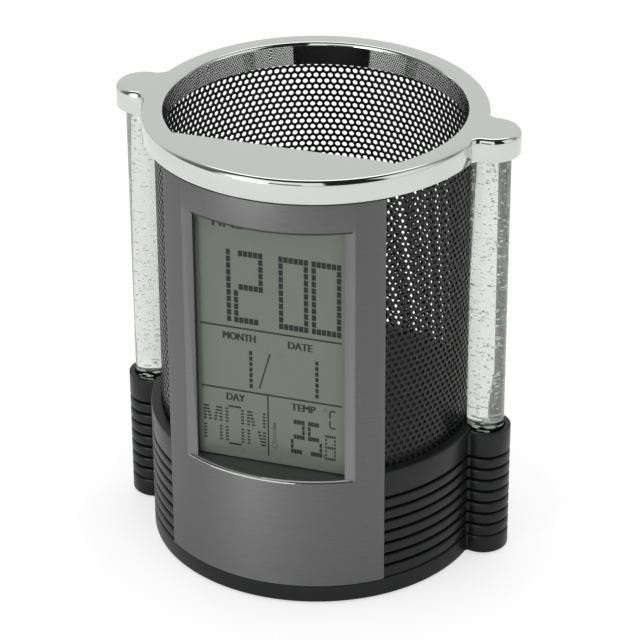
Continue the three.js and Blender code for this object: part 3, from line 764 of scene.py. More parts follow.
def paint(nodes: Sequence[str], finish: Material) -> None:
    """Give CAD nodes that keep their shape a better material."""
    for node in nodes:
        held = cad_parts[node]
        held.data.materials.clear()
        held.data.materials.append(finish)
        log.info("%s: finished as %s", node, finish.name)


@dataclass
class Outline:
    """A circle with a round lobe at each side, joined to it by concave fillets.

    Attributes:
        radius: the circle.
        lobe: radius of each lobe.
        fillet: radius of each concave fillet.
        offset: distance of the lobes from the middle.
        fillet_step: length of each face on a fillet.
        lobe_step: length of each face on a lobe.
        fewest: the least number of faces on a fillet.
        circle_steps: faces on the front and on the back of the circle.
    """

    radius: float
    lobe: float
    fillet: float
    offset: float = 43.3
    fillet_step: float = 0.35
    lobe_step: float = 0.7
    fewest: int = 6
    circle_steps: int = 88

    def arcs(self) -> tuple[Pair, list[tuple[Pair, float, int]]]:
        """Work out the outline.

        Returns:
            The starting point, and the arcs for trace.
        """
        reach = self.radius + self.fillet
        lobe_reach = self.lobe + self.fillet
        cosine = (reach ** 2 + self.offset ** 2 - lobe_reach ** 2) / (2 * reach * self.offset)
        turn = math.acos(cosine)
        x, y = reach * math.cos(turn), reach * math.sin(turn)
        lobe_turn = math.atan2(y, x - self.offset)
        fillet_turn = (lobe_turn + math.pi) - (turn + math.pi)
        steps = max(self.fewest, round(self.fillet * fillet_turn / self.fillet_step))
        lobe_steps = 2 * round(self.lobe * lobe_turn / self.lobe_step)
        arcs = []
        for side in (1, -1):
            arcs.append(((side * x, side * y), -fillet_turn, steps))
            arcs.append(((0.0, 0.0), math.pi - 2 * turn, self.circle_steps))
            arcs.append(((-side * x, side * y), -fillet_turn, steps))
            arcs.append(((-side * self.offset, 0.0), 2 * lobe_turn, lobe_steps))
        start = (self.offset + self.lobe * math.cos(lobe_turn), self.lobe * math.sin(lobe_turn))
        return start, arcs

    def draw(self, name: str, z: float) -> Piece:
        """Draw the outline as one flat face at a height."""
        start, arcs = self.arcs()
        return trace(name, start, z, arcs)


@dataclass
class TopRing:
    """The chrome ring: a rounded rim with an ear over each pillar and a plate over the clock.

    Attributes:
        ceiling: top of the hollow under it.
        bore: radius of the opening.
        chord: distance from the middle to the straight front of the opening.
        skirt_inner: inner radius of the skirt.
        slot_inner: inner radius of the slot that takes the cup's wall.
        rim_round, bore_round, foot_round: roundings of the upper edge, the opening and the lower edge.
        ear: distance of the ears from the middle.
        socket: radius of the sockets for the pillars.
        case_half: half the width of the hollow over the clock.
    """

    outline: Outline
    bottom: float = 108.2
    top: float = 114.0
    ceiling: float = 112.0
    bore: float = 36.05
    chord: float = 24.6
    skirt_inner: float = 39.0
    slot_inner: float = 37.6
    rim_round: float = 1.3
    bore_round: float = 0.9
    foot_round: float = 0.22
    ear: float = 43.3
    socket: float = 4.9
    case_half: float = 23.8

    def build(self) -> Piece:
        """Model the ring.

        Returns:
            The ring.
        """
        ring = self.outline.draw("top_ring_chrome", self.bottom)
        raise_face(ring, [self.top - self.bottom])
        round_edges(ring, lambda a, b: min(a.z, b.z) > self.top - NEAR, self.rim_round, segments=7)
        round_edges(ring, lambda a, b: max(a.z, b.z) < self.bottom + NEAR, self.foot_round, segments=2)
        combine(ring, self.opening())
        round_edges(ring, self.on_bore_rim, self.bore_round, segments=5)
        hollow = cylinder("hollow", self.skirt_inner, self.bottom - PAST, self.ceiling, sides=ROUND)
        combine(hollow, cylinder("core", self.slot_inner, self.bottom - 2 * PAST, self.ceiling + PAST,
                                 sides=ROUND))
        front = cylinder("front", self.skirt_inner, self.bottom - PAST, self.ceiling, sides=ROUND)
        strip = box("strip", (-self.case_half, -ASIDE, 0.0), (self.case_half, -self.chord + PAST, ABOVE))
        combine(front, strip, "INTERSECT")
        combine(ring, hollow)
        combine(ring, front)
        for side in Side:
            combine(ring, cylinder("socket", self.socket, self.bottom - PAST, self.ceiling,
                                   (side.value * self.ear, 0.0), sides=48))
        tidy(ring, angle=30.0)
        return ring

    def opening(self) -> Piece:
        """Model the D-shaped opening as a cutter."""
        bore = cylinder("bore", self.bore, self.bottom - PAST, self.top + PAST, sides=ROUND)
        combine(bore, box("half", (-FAR, -self.chord, 0.0), (FAR, FAR, ABOVE)), "INTERSECT")
        return bore

    def on_bore_rim(self, a: Vector, b: Vector) -> bool:
        """Tell whether an edge lies on the upper rim of the opening."""
        high = min(a.z, b.z) > self.top - NEAR
        curved = all(abs(p.xy.length - self.bore) < 5 * NEAR for p in (a, b))
        straight = all(abs(p.y + self.chord) < 2 * NEAR for p in (a, b))
        return high and curved and not straight

    def dress(self, palette: Palette) -> None:
        """Build the ring and give it its chrome."""
        settle(self.build(), Slot.CHROME, palette["chrome"], "top_ring")


@dataclass
class MeshCup:
    """The perforated cup wall: round holes in staggered rows, modelled one by one.

    Attributes:
        inner, outer: radii of the sheet.
        front_gap: half the angle that the clock takes up, in degrees.
        pitch: distance between the holes of a row.
        row: distance between rows.
        hole: radius of a hole.
        sides: faces round a hole.
        phase: where the first column stands, as a share of the step between columns.
    """

    inner: float = 37.98
    outer: float = 38.4
    bottom: float = 34.2
    top: float = 111.7
    front_gap: float = 39.5
    pitch: float = 1.8
    row: float = 1.56
    hole: float = 0.635
    sides: int = 12
    phase: float = 0.25

    def cell(self) -> Piece:
        """Model one hole in its share of the sheet, on the front of the cup's outer face.

        Returns:
            A flat ring between a hexagon and a circle, upright, facing +X.
        """
        rest()
        bpy.ops.mesh.primitive_circle_add(vertices=self.sides, radius=self.pitch / 2 * MM,
                                          fill_type="NOTHING")
        piece = fresh("cell")
        corner = 1 / math.cos(math.pi / 6)
        stretch = self.row / (self.pitch * math.sqrt(0.75))
        # Every second vertex moves out to a corner of the hexagon, at 30 degrees and every 60 from there.
        for vertex in piece.data.vertices:
            angle = math.degrees(math.atan2(vertex.co.y, vertex.co.x)) % 60
            if abs(angle - 30) < 1:
                vertex.co *= corner
            vertex.co.y *= stretch
        edit()
        bpy.ops.mesh.select_all(action="DESELECT")
        bpy.ops.mesh.primitive_circle_add(vertices=self.sides, radius=self.hole * MM, fill_type="NOTHING")
        select_whole()
        bpy.ops.mesh.bridge_edge_loops()
        leave()
        piece.data.transform(Matrix.Rotation(math.pi / 2, 4, "Z") @ Matrix.Rotation(math.pi / 2, 4, "X"))
        piece.data.transform(Matrix.Translation((self.outer * MM, 0.0, 0.0)))
        return piece

    def column(self, step: float) -> Piece:
        """Stack cells into one staggered column.

        Args:
            step: the angle between neighbouring holes, in radians.

        Returns:
            The column, two rows at a time.
        """
        first = self.cell()
        second = self.cell()
        second.data.transform(Matrix.Rotation(step / 2, 4, "Z")
                              @ Matrix.Translation((0.0, 0.0, self.row * MM)))
        hold(first)
        second.select_set(True)
        bpy.ops.object.join()
        modify(first, "ARRAY", use_relative_offset=False, use_constant_offset=True,
               constant_offset_displace=(0.0, 0.0, 2 * self.row * MM),
               count=math.ceil((self.top - self.bottom) / (2 * self.row)) + 1)
        first.data.transform(Matrix.Translation((0.0, 0.0, (self.bottom - self.row) * MM)))
        return first

    def wall(self, name: str, start: float, count: int, step: float) -> Piece:
        """Repeat the column round the cup and give the sheet its thickness.

        Args:
            name: the piece's name.
            start: the angle of its first column, in radians.
            count: how many columns it has.
            step: the angle between columns.

        Returns:
            That stretch of the wall.
        """
        piece = self.column(step)
        piece.name = name
        piece.data.name = name
        hinge = bpy.data.objects.new("hinge", None)
        bpy.context.scene.collection.objects.link(hinge)
        hinge.rotation_euler = (0.0, 0.0, step)
        bpy.context.view_layer.update()
        modify(piece, "ARRAY", use_relative_offset=False, use_object_offset=True, offset_object=hinge,
               count=count)
        bpy.data.objects.remove(hinge)
        piece.data.transform(Matrix.Rotation(start, 4, "Z"))
        edit()
        select_whole()
        bpy.ops.mesh.remove_doubles(threshold=0.03 * MM)
        for height, normal in ((self.bottom, (0.0, 0.0, -1.0)), (self.top, (0.0, 0.0, 1.0))):
            select_whole()
            bpy.ops.mesh.bisect(plane_co=(0.0, 0.0, height * MM), plane_no=normal, clear_outer=True)
        select_whole()
        bpy.ops.mesh.normals_make_consistent(inside=False)
        leave()
        if piece.data.polygons[0].normal.dot(piece.data.polygons[0].center * Vector((1, 1, 0))) < 0:
            piece.data.flip_normals()
        modify(piece, "SOLIDIFY", thickness=(self.outer - self.inner) * MM, offset=-1.0)
        bpy.ops.object.shade_smooth_by_angle(angle=math.radians(40))
        return piece

    def dress(self, palette: Palette) -> None:
        """Build the wall in three stretches, each of a few dozen columns, and enamel it."""
        span = math.radians(360 - 2 * self.front_gap)
        around = round(span * self.outer / self.pitch)
        step = span / around
        first = math.radians(-90 + self.front_gap)
        third = around // 3
        begun = 0
        for name, count, nodes in (("mesh_right", third, ["mesh_cup"]), ("mesh_back", third, []),
                                   ("mesh_left", around - 2 * third, [])):
            piece = self.wall(name, first + (begun + self.phase) * step, count, step)
            settle(piece, Slot.STEEL, palette["steel"], *nodes)
            begun += count


@dataclass
class Pillar:
    """A clear pillar full of small bubbles.

    Attributes:
        node: the CAD node that it stands for.
        ends: rounding of its ends.
        bubbles, crowd, chain: number of fine bubbles, of flat ones at its foot and up its front.
        seed: start of the random numbers.
        bare_foot, bare_head: how much of its two ends has no fine bubbles.
        skin, crowd_skin: depth of the outermost bubbles.
        sizes, crowd_sizes, chain_sizes: smallest and largest radius.
        squash, crowd_squash, chain_squash: height of a bubble for its width.
        crowd_span: heights over the foot between which the crowd lies.
        chain_aside, chain_ahead: the chain's distance from the axis, across the view and towards it.
        chain_turn: cosine and sine of the camera's bearing.
        chain_ends: how much of the foot and of the head has no chain.
        chain_thick: height at which the chain is thickest.
    """

    side: Side
    node: str
    offset: float = 43.3
    radius: float = 4.6
    bottom: float = 30.5
    top: float = 111.7
    ends: float = 0.25
    finish: str = "acrylic"
    bubbles: int = 520
    crowd: int = 22
    chain: int = 0
    seed: int = 5
    bare_foot: float = 7.0
    bare_head: float = 0.8
    skin: float = 0.55
    sizes: Pair = (0.15, 0.36)
    squash: Pair = (0.35, 0.8)
    crowd_span: Pair = (2.4, 7.6)
    crowd_skin: float = 1.1
    crowd_sizes: Pair = (0.45, 0.9)
    crowd_squash: float = 0.28
    chain_aside: Pair = (1.5, 2.6)
    chain_ahead: Pair = (2.2, 3.0)
    chain_turn: Pair = (0.95, 0.31)
    chain_ends: Pair = (6.0, 4.0)
    chain_thick: float = 48.0
    chain_sizes: Pair = (0.3, 0.62)
    chain_squash: Pair = (0.35, 0.6)

    def rod(self) -> Piece:
        """Turn the rod, with its two ends eased."""
        piece = cylinder(f"{self.node}_clear", self.radius, self.bottom, self.top,
                         (self.side.value * self.offset, 0.0), sides=72)
        soften(piece, self.ends)
        tidy(piece)
        return piece

    def spots(self) -> Iterator[Spot]:
        """Scatter the fine bubbles all over the rod, but for its foot.

        Yields:
            Each bubble.
        """
        chance = random.Random(self.seed + self.side.value)
        for _ in range(self.bubbles):
            height = chance.uniform(self.bottom + self.bare_foot, self.top - self.bare_head)
            middle = self.place(chance, height, self.radius - self.skin)
            size = chance.uniform(*self.sizes)
            yield middle, Vector((size, size, size * chance.uniform(*self.squash)))

    def flats(self) -> Iterator[Spot]:
        """Set flat bubbles, drawn white as painted glints, at the foot and in a loose chain up the front of
        the rod.

        Yields:
            Each bubble.
        """
        chance = random.Random(self.seed * 3 + self.side.value)
        for _ in range(self.crowd):
            height = chance.uniform(self.bottom + self.crowd_span[0], self.bottom + self.crowd_span[1])
            middle = self.place(chance, height, self.radius - self.crowd_skin)
            size = chance.uniform(*self.crowd_sizes)
            yield middle, Vector((size, size, size * self.crowd_squash))
        cosine, sine = self.chain_turn
        lowest, highest = self.bottom + self.chain_ends[0], self.top - self.chain_ends[1]
        for _ in range(self.chain):
            aside, ahead = chance.uniform(*self.chain_aside), chance.uniform(*self.chain_ahead)
            middle = Vector((self.side.value * self.offset + cosine * aside + sine * ahead,
                             sine * aside - cosine * ahead,
                             chance.triangular(lowest, highest, self.chain_thick)))
            size = chance.uniform(*self.chain_sizes)
            yield middle, Vector((size, size, size * chance.uniform(*self.chain_squash)))

    def place(self, chance: random.Random, height: float, reach: float) -> Vector:
        """Pick a place at a height, evenly spread over a disc in the rod."""
        away = reach * math.sqrt(chance.random())
        angle = chance.uniform(0.0, 2 * math.pi)
        return Vector((self.side.value * self.offset + away * math.cos(angle), away * math.sin(angle),
                       height))

    def air(self, name: str, spots: Iterator[Spot]) -> Piece:
        """Model one bubble and copy it through the rod.

        Args:
            name: the piece's name.
            spots: the bubbles.

        Returns:
            The bubbles as one piece.
        """
        rest()
        bpy.ops.mesh.primitive_uv_sphere_add(segments=8, ring_count=6, radius=MM)
        piece = fresh(name)
        repeat(piece, ((np.array(middle) * MM, np.array(half)) for middle, half in spots))
        hold(piece)
        bpy.ops.object.shade_smooth()
        return piece

    def dress(self, palette: Palette) -> None:
        """Build the rod and its bubbles."""
        settle(self.rod(), Slot.ACRYLIC, palette[self.finish], self.node)
        # The flat bubbles take plain white: a painted glint.
        for kind, spots, finish in (("bubbles", self.spots(), "bubble"), ("flats", self.flats(), "frost")):
            settle(self.air(f"{self.node}_{kind}", spots), Slot.ACRYLIC, palette[finish])


@dataclass
class RibbedBase:
    """The moulded base: ribs run round the body and both posts.

    Attributes:
        post, post_top, post_margin: radius of a post, its top, and the reach of the cut above it round it.
        groove_spread: how much wider a groove is on the body than on a post.
        spread_from, spread_over: distance from the X axis at which it starts to widen, and the way it takes.
        step_depth: depth of the lowest groove, which is a shallow step.
        rim_from: radius from which an edge of the top belongs to the rim.
        pocket: radius of the pocket that takes the panel, with its half angle in degrees.
        recess_plane: front of the recess in the deck for the display's case.
        over, under: ends of cutters above the deck and inside of the hollow.
        key_bores, panel_bores, deck_bores: middle of the outermost hole of each row, on the right.
    """

    outline: Outline
    bottom: float = 0.4
    top: float = 35.1
    post_top: float = 34.3
    post: float = 6.25
    post_margin: float = 1.2
    offset: float = 43.3
    grooves: int = 7
    first_groove: float = 27.8
    groove_pitch: float = 3.19
    groove_width: float = 0.44
    groove_spread: float = 0.3
    spread_from: float = 5.4
    spread_over: float = 2.6
    groove_depth: float = 1.2
    step_depth: float = 0.5
    rib_round: float = 0.46
    rim_from: float = 40.9
    rim_round: float = 0.5
    foot_round: float = 0.7
    wall: float = 2.0
    deck_under: float = 33.1
    socket: float = 4.9
    socket_floor: float = 30.2
    lamp: float = 2.8
    lamp_deep: float = 3.0
    pocket: float = 39.0
    pocket_bottom: float = 4.85
    pocket_half: float = 41.17
    pocket_wall: float = 3.0
    front_wall: float = 37.0
    slot_inner: float = 37.6
    slot_outer: float = 38.7
    slot_bottom: float = 33.9
    slot_half: float = 141.0
    keypad: float = 39.0
    keypad_wall: float = 1.5
    keypad_half: float = 13.8
    keypad_low: float = 8.9
    keypad_high: float = 27.0
    recess_half: float = 20.6
    recess_plane: float = -30.3
    recess_bottom: float = 32.4
    over: float = 40.0
    under: float = 30.0
    keys: int = 4
    key_pitch: float = 6.4
    key_hole: float = 2.5
    key_bores: Pair = (38.0, 18.0)
    panel_hole: float = 2.5
    panel_bores: tuple[float, float, float] = (9.0, -38.0, 19.0)
    deck_hole: float = 1.3
    deck_bores: Pair = (8.0, -28.35)

    def bands(self) -> list[tuple[float, float, float]]:
        """List the grooves as bottom, top and depth, from the lowest up."""
        found = []
        for index in range(self.grooves, -1, -1):
            middle = self.first_groove - index * self.groove_pitch
            depth = self.step_depth if index == self.grooves else self.groove_depth
            found.append((middle - self.groove_width / 2, middle + self.groove_width / 2, depth))
        return found

    def body(self) -> Piece:
        """Raise the outline and press the grooves in.

        Returns:
            The ribbed block.
        """
        block = self.outline.draw("base_shell_ribbed", self.bottom)
        levels = sorted({z - self.bottom for band in self.bands() for z in band[:2]})
        raise_face(block, [*levels, self.top - self.bottom])
        for low, high, depth in self.bands():
            choose(block, lambda c, n, low=low, high=high: abs(n.z) < UPRIGHT and low < c.z < high)
            hold(block)
            edit("FACE")
            bpy.ops.mesh.extrude_region_shrink_fatten(
                TRANSFORM_OT_shrink_fatten={"value": -depth * MM, "use_even_offset": True})
            leave()
        self.widen(block)
        self.round_ribs(block)
        return block

    def widen(self, block: Piece) -> None:
        """Widen the grooves where they leave the posts and run round the body."""
        half = self.groove_spread / 2
        edges = [(z, move) for low, high, _ in self.bands() for z, move in ((low, -half), (high, half))]
        for vertex in block.data.vertices:
            height = vertex.co.z / MM
            near, move = min(edges, key=lambda e: abs(e[0] - height))
            if abs(near - height) < NEAR:
                away = (abs(vertex.co.y) / MM - self.spread_from) / self.spread_over
                vertex.co.z += move * min(1.0, max(0.0, away)) * MM

    def round_ribs(self, block: Piece) -> None:
        """Round the lips of every rib, where it meets its grooves."""
        bands = self.bands()
        choose(block, lambda c, n: abs(n.z) < UPRIGHT and not any(low < c.z < high for low, high, _ in bands))
        hold(block)
        edit("FACE")
        bpy.ops.mesh.region_to_loop()
        leave()
        heights = [v.co.z / MM for v in block.data.vertices]
        lowest, highest = self.bottom + 10 * NEAR, self.top - 10 * NEAR
        for edge in block.data.edges:
            edge.select = edge.select and lowest < heights[edge.vertices[0]] < highest
        edit("EDGE")
        bpy.ops.mesh.bevel(offset=self.rib_round * MM, segments=3, profile=0.5, affect="EDGES",
                           clamp_overlap=True)
        leave()

    def hollow(self) -> Piece:
        """Model the room inside the walls, less the solid front, the posts and the keys' block.

        Returns:
            The room, as a cutter.
        """
        inner = Outline(self.outline.radius - self.wall, self.outline.lobe - self.wall,
                        self.outline.fillet + self.wall).draw("hollow", -PAST)
        raise_face(inner, [self.deck_under + PAST])
        combine(inner, ring_sector("keep", self.front_wall, FAR, self.pocket_half + self.pocket_wall,
                                   -2 * PAST, FAR))
        for side in Side:
            at = (side.value * self.offset, 0.0)
            combine(inner, cylinder("post", self.post, self.socket_floor - self.wall, self.over, at,
                                    sides=72))
        half, low = self.keypad_half + self.keypad_wall, self.keypad_low - self.keypad_wall
        combine(inner, box("keypad", (-half, self.keypad - self.wall, low),
                           (half, ASIDE, self.keypad_high + self.keypad_wall)))
        return inner

    def pockets(self) -> Iterator[Piece]:
        """Model what is taken out for the pillars, the lamps, the panel, the case, the cup and the keys.

        Yields:
            Each pocket, as a cutter.
        """
        for side in Side:
            at = (side.value * self.offset, 0.0)
            yield cylinder("socket", self.socket, self.socket_floor, self.over, at, sides=72)
            yield cylinder("lamp", self.lamp, self.socket_floor - self.lamp_deep, self.over, at, sides=32)
        yield ring_sector("pocket", self.pocket, FAR, self.pocket_half, self.pocket_bottom, FAR)
        yield box("recess", (-self.recess_half, -ASIDE, self.recess_bottom),
                  (self.recess_half, self.recess_plane, FAR))
        yield ring_sector("slot", self.slot_inner, self.slot_outer, self.slot_half, self.slot_bottom, FAR,
                          middle=90.0)
        yield box("keypad", (-self.keypad_half, self.keypad, self.keypad_low),
                  (self.keypad_half, ASIDE, self.keypad_high))

    def holes(self) -> Iterator[Piece]:
        """Model the holes for the keys and for the screws of the panel and the deck.

        Yields:
            Each hole, as a cutter.
        """
        for index in range(self.keys):
            x = (index - (self.keys - 1) / 2) * self.key_pitch
            yield self.bore(self.key_hole, half=6.0, at=(x, *self.key_bores), sides=40)
        for side in Side:
            x, y, z = self.panel_bores
            yield self.bore(self.panel_hole, half=8.0, at=(side.value * x, y, z), sides=32)
            x, y = self.deck_bores
            yield cylinder("deck_hole", self.deck_hole, self.under, self.over, (side.value * x, y), sides=24)

    @staticmethod
    def bore(radius: float, half: float, at: tuple[float, float, float], sides: int) -> Piece:
        """Model a level hole that runs from front to back, by its half length and its middle."""
        hole = cylinder("bore", radius, -half, half, sides=sides)
        hole.data.transform(Matrix.Translation([v * MM for v in at]) @ Matrix.Rotation(math.pi / 2, 4, "X"))
        return hole

    def on_rim(self, a: Vector, b: Vector) -> bool:
        """Tell whether an edge lies on the outer rim of the body's top or of a post's."""
        high = min(a.z, b.z) > self.post_top - NEAR and abs(a.z - b.z) < NEAR
        return high and min(a.xy.length, b.xy.length) > self.rim_from

    def build(self) -> Piece:
        """Model the base with its pockets and its hollow.

        Returns:
            The base.
        """
        block = self.body()
        for side in Side:
            above = cylinder("above", self.post + self.post_margin, self.post_top, self.top + PAST,
                             (side.value * self.offset, 0.0), sides=72)
            combine(above, cylinder("keep", self.outline.radius, self.post_top - PAST, self.top + 2 * PAST,
                                    sides=ROUND))
            combine(block, above)
        round_edges(block, self.on_rim, self.rim_round, segments=3)
        round_edges(block, lambda a, b: max(a.z, b.z) < self.bottom + NEAR, self.foot_round, segments=3)
        combine(block, self.hollow())
        for cutter in chain(self.pockets(), self.holes()):
            combine(block, cutter)
        tidy(block, angle=30.0)
        return block

    def dress(self, palette: Palette) -> None:
        """Build the base and give it its grained black."""
        settle(self.build(), Slot.PLASTIC, palette["base"], "base_shell")


def ring_sector(name: str, inner: float, outer: float, half: float, low: float, high: float,
                middle: float = -90.0, step: float = 1.5) -> Piece:
    """Spin an upright rectangle about the Z axis into a closed ring sector.

    Args:
        name: its name.
        inner: inner radius in millimetres.
        outer: outer radius.
        half: half of its angle in degrees.
        low: its bottom.
        high: its top.
        middle: the direction of its middle in degrees.
        step: degrees for each step.

    Returns:
        The sector.
    """
    rest()
    bpy.ops.mesh.primitive_plane_add(size=1.0, rotation=(math.pi / 2, 0.0, 0.0))
    piece = bpy.context.object
    piece.scale = ((outer - inner) * MM, (high - low) * MM, 1.0)
    piece.location = ((inner + outer) / 2 * MM, 0.0, (low + high) / 2 * MM)
    fresh(name)
    piece.data.transform(Matrix.Rotation(math.radians(middle - half), 4, "Z"))
    edit()
    select_whole()
    bpy.ops.mesh.spin(steps=max(2, round(2 * half / step)), angle=-math.radians(2 * half),
                      center=(0.0, 0.0, 0.0), axis=(0.0, 0.0, 1.0))
    select_whole()
    bpy.ops.mesh.normals_make_consistent(inside=False)
    leave()
    return piece


@dataclass
class FrontPanel:
    """The curved grey panel, cut to a flat facet round the display window.

    Attributes:
        half: half its angle in degrees.
        plane, flange: distance of the facet from the middle, and its thickness.
        flange_lap: how far the facet's sides reach into the panel.
        foot_reach, foot_skin: how far the foot's edge runs past the recess, and how deep it may lie.
        bevel_level: least tilt of the bevel's faces that take the painted highlight, and its growth for each
            millimetre to the right, where the highlight narrows.
        bevel_steep: greatest tilt of those faces, on the left and on the right.
        dim_highlight_to: how far to the right the bead's painted highlight is greyer.
        crescent_turn: its direction from the front, to the left if below 0.
        lip, lip_deep, lip_ends: height, depth and ends of the black strip under the window's head, a painted
            shadow line along its edge.
        sill_from: distance from the middle at which the window's foot begins.
        reach: half the width of cutters.
    """

    outer: float = 41.3
    inner: float = 39.3
    half: float = 41.0
    bottom: float = 5.15
    top: float = 107.9
    plane: float = 35.5
    flange: float = 0.6
    flange_lap: float = 0.3
    window_half: float = 18.5
    window_low: float = 34.2
    window_high: float = 100.9
    recess_half: float = 20.6
    recess_low: float = 32.4
    recess_high: float = 103.0
    edge: float = 0.35
    foot_round: float = 0.6
    foot_reach: float = 0.8
    foot_skin: float = 0.06
    bevel_level: Pair = (0.3, 0.065)
    bevel_steep: Pair = (0.995, 0.97)
    bead_inner: float = 40.25
    bead_height: float = 0.06
    bead_sunk: float = 0.05
    dim_highlight_to: float = -1.0
    crescent_width: float = 0.5
    crescent_height: float = 0.24
    crescent_proud: float = 0.02
    crescent_half: float = math.radians(12.5)
    crescent_turn: float = math.radians(-4.6)
    lip: float = 0.5
    lip_deep: float = 3.5
    lip_ends: Pair = (-18.3, 20.4)
    sill_from: float = 30.0
    reach: float = 30.0

    def build(self) -> Piece:
        """Model the panel.

        Returns:
            The panel.
        """
        panel = ring_sector("front_panel_satin", self.inner, self.outer, self.half, self.bottom, self.top,
                            step=1.0)
        combine(panel, box("face", (-self.reach, -FAR, self.window_low),
                           (self.reach, -self.plane, self.window_high)))
        combine(panel, box("recess", (-self.recess_half, -self.plane + self.flange, self.recess_low),
                           (self.recess_half, 0.0, self.recess_high)))
        combine(panel, box("window", (-self.window_half, -FAR, self.window_low),
                           (self.window_half, 0.0, self.window_high)))
        for side in Side:
            ends = sorted((side.value * self.window_half, side.value * (self.recess_half + self.flange_lap)))
            strip = box("flange", (ends[0], -self.plane, self.window_low - NEAR),
                        (ends[1], -self.plane + self.flange, self.window_high + NEAR))
            combine(panel, strip, "UNION")
        round_edges(panel, self.on_foot, self.foot_round, segments=6)
        soften(panel, self.edge, segments=3, angle=20.0)
        tidy(panel, angle=25.0)
        return panel

    def on_foot(self, a: Vector, b: Vector) -> bool:
        """Tell whether an edge lies on the curved foot of the window."""
        return all(abs(p.z - self.window_low) < 2 * NEAR and p.xy.length > self.outer - self.foot_skin
                   and abs(p.x) < self.recess_half + self.foot_reach for p in (a, b))

    def gets_painted_highlight(self, middle: Vector, normal: Vector) -> bool:
        """Tell whether a face of the bevel along the foot of the window takes the painted highlight."""
        outside = middle.xy.length > self.outer - self.foot_round - 10 * NEAR
        along = abs(middle.x) < self.recess_half + self.foot_reach and outside
        least, taper = self.bevel_level
        level = least + taper * max(0.0, middle.x)
        steep = self.bevel_steep[0 if middle.x < 0 else 1]
        return along and level < normal.z < steep and abs(middle.z - self.window_low) < self.foot_round

    def ahead(self) -> Piece:
        """Model the room in front of the facet, to keep only what lies in it."""
        return box("ahead", (-self.reach, -FAR, 0.0), (self.reach, -self.plane - 5 * NEAR, FAR))

    def recess_angle(self) -> float:
        """Return half the angle that the recess takes of the panel, in degrees."""
        return math.degrees(math.asin(self.recess_half / self.outer))

    def bead(self) -> Piece:
        """Model the fine bead on the foot of the window, inside its rounded edge; its colour is a painted
        highlight.
        """
        piece = ring_sector("window_bead", self.bead_inner, self.outer - self.foot_round + 2 * NEAR,
                            self.recess_angle(), self.window_low - self.bead_sunk,
                            self.window_low + self.bead_height, step=1.0)
        combine(piece, self.ahead(), "INTERSECT")
        return piece

    def crescent(self) -> Piece:
        """Model a painted highlight: a thin bright crescent on the outer edge of the foot, widest left of its
        middle.
        """
        edge = self.outer + self.crescent_proud
        piece = cylinder("window_glint_crescent", edge, self.window_low - self.crescent_height,
                         self.window_low + self.crescent_proud, sides=480)
        within = self.crescent_width / (1 - math.cos(self.crescent_half))
        at = (-within * math.sin(self.crescent_turn), within * math.cos(self.crescent_turn))
        combine(piece, cylinder("within", edge + within - self.crescent_width, 0.0, FAR, at, sides=600))
        combine(piece, self.ahead(), "INTERSECT")
        return piece

    def shade_strip(self) -> Piece:
        """Model the thin black strip under the head of the window: painted shadow along the head's lower
        edge.
        """
        lip = ring_sector("window_shade_strip", self.inner - self.lip_deep, self.outer - 10 * NEAR,
                          self.recess_angle(), self.window_high - self.lip, self.window_high - 2 * NEAR)
        ends = box("face", (self.lip_ends[0], -FAR, 0.0), (self.lip_ends[1], -self.plane, ABOVE))
        combine(lip, ends, "INTERSECT")
        return lip

    def on_sill(self, middle: Vector) -> bool:
        """Tell whether a face belongs to the level foot of the window."""
        level = abs(middle.z - self.window_low) < 10 * NEAR
        return level and abs(middle.x) < self.recess_half and middle.y < -self.sill_from

    def dress(self, palette: Palette) -> None:
        """Build the panel and finish it, with the bead, the crescent and the lip in its window: painted
        highlights on the bevel, the bead and the crescent, painted shadow in the lip.
        """
        panel = self.build()
        settle(panel, Slot.PANEL, palette["panel"], "front_panel")
        panel.data.materials.append(palette["cut"])
        panel.data.materials.append(palette["frame"])
        # Bevel faces along the foot of the window take the painted highlight.
        for face in panel.data.polygons:
            middle = face.center / MM
            if self.gets_painted_highlight(middle, face.normal):
                face.material_index = 1
            elif self.on_sill(middle):
                face.material_index = 2
        bead = self.bead()
        settle(bead, Slot.PANEL, palette["cut"])
        bead.data.materials.append(palette["worn"])
        # The bead's left part takes the greyer painted highlight.
        for face in bead.data.polygons:
            face.material_index = int(face.center.x < self.dim_highlight_to * MM)
        # The crescent carries a painted highlight.
        settle(self.crescent(), Slot.PANEL, palette["cut"])
        # The black strip under the window's head is painted shadow.
        settle(self.shade_strip(), Slot.PLASTIC, palette["inner"])


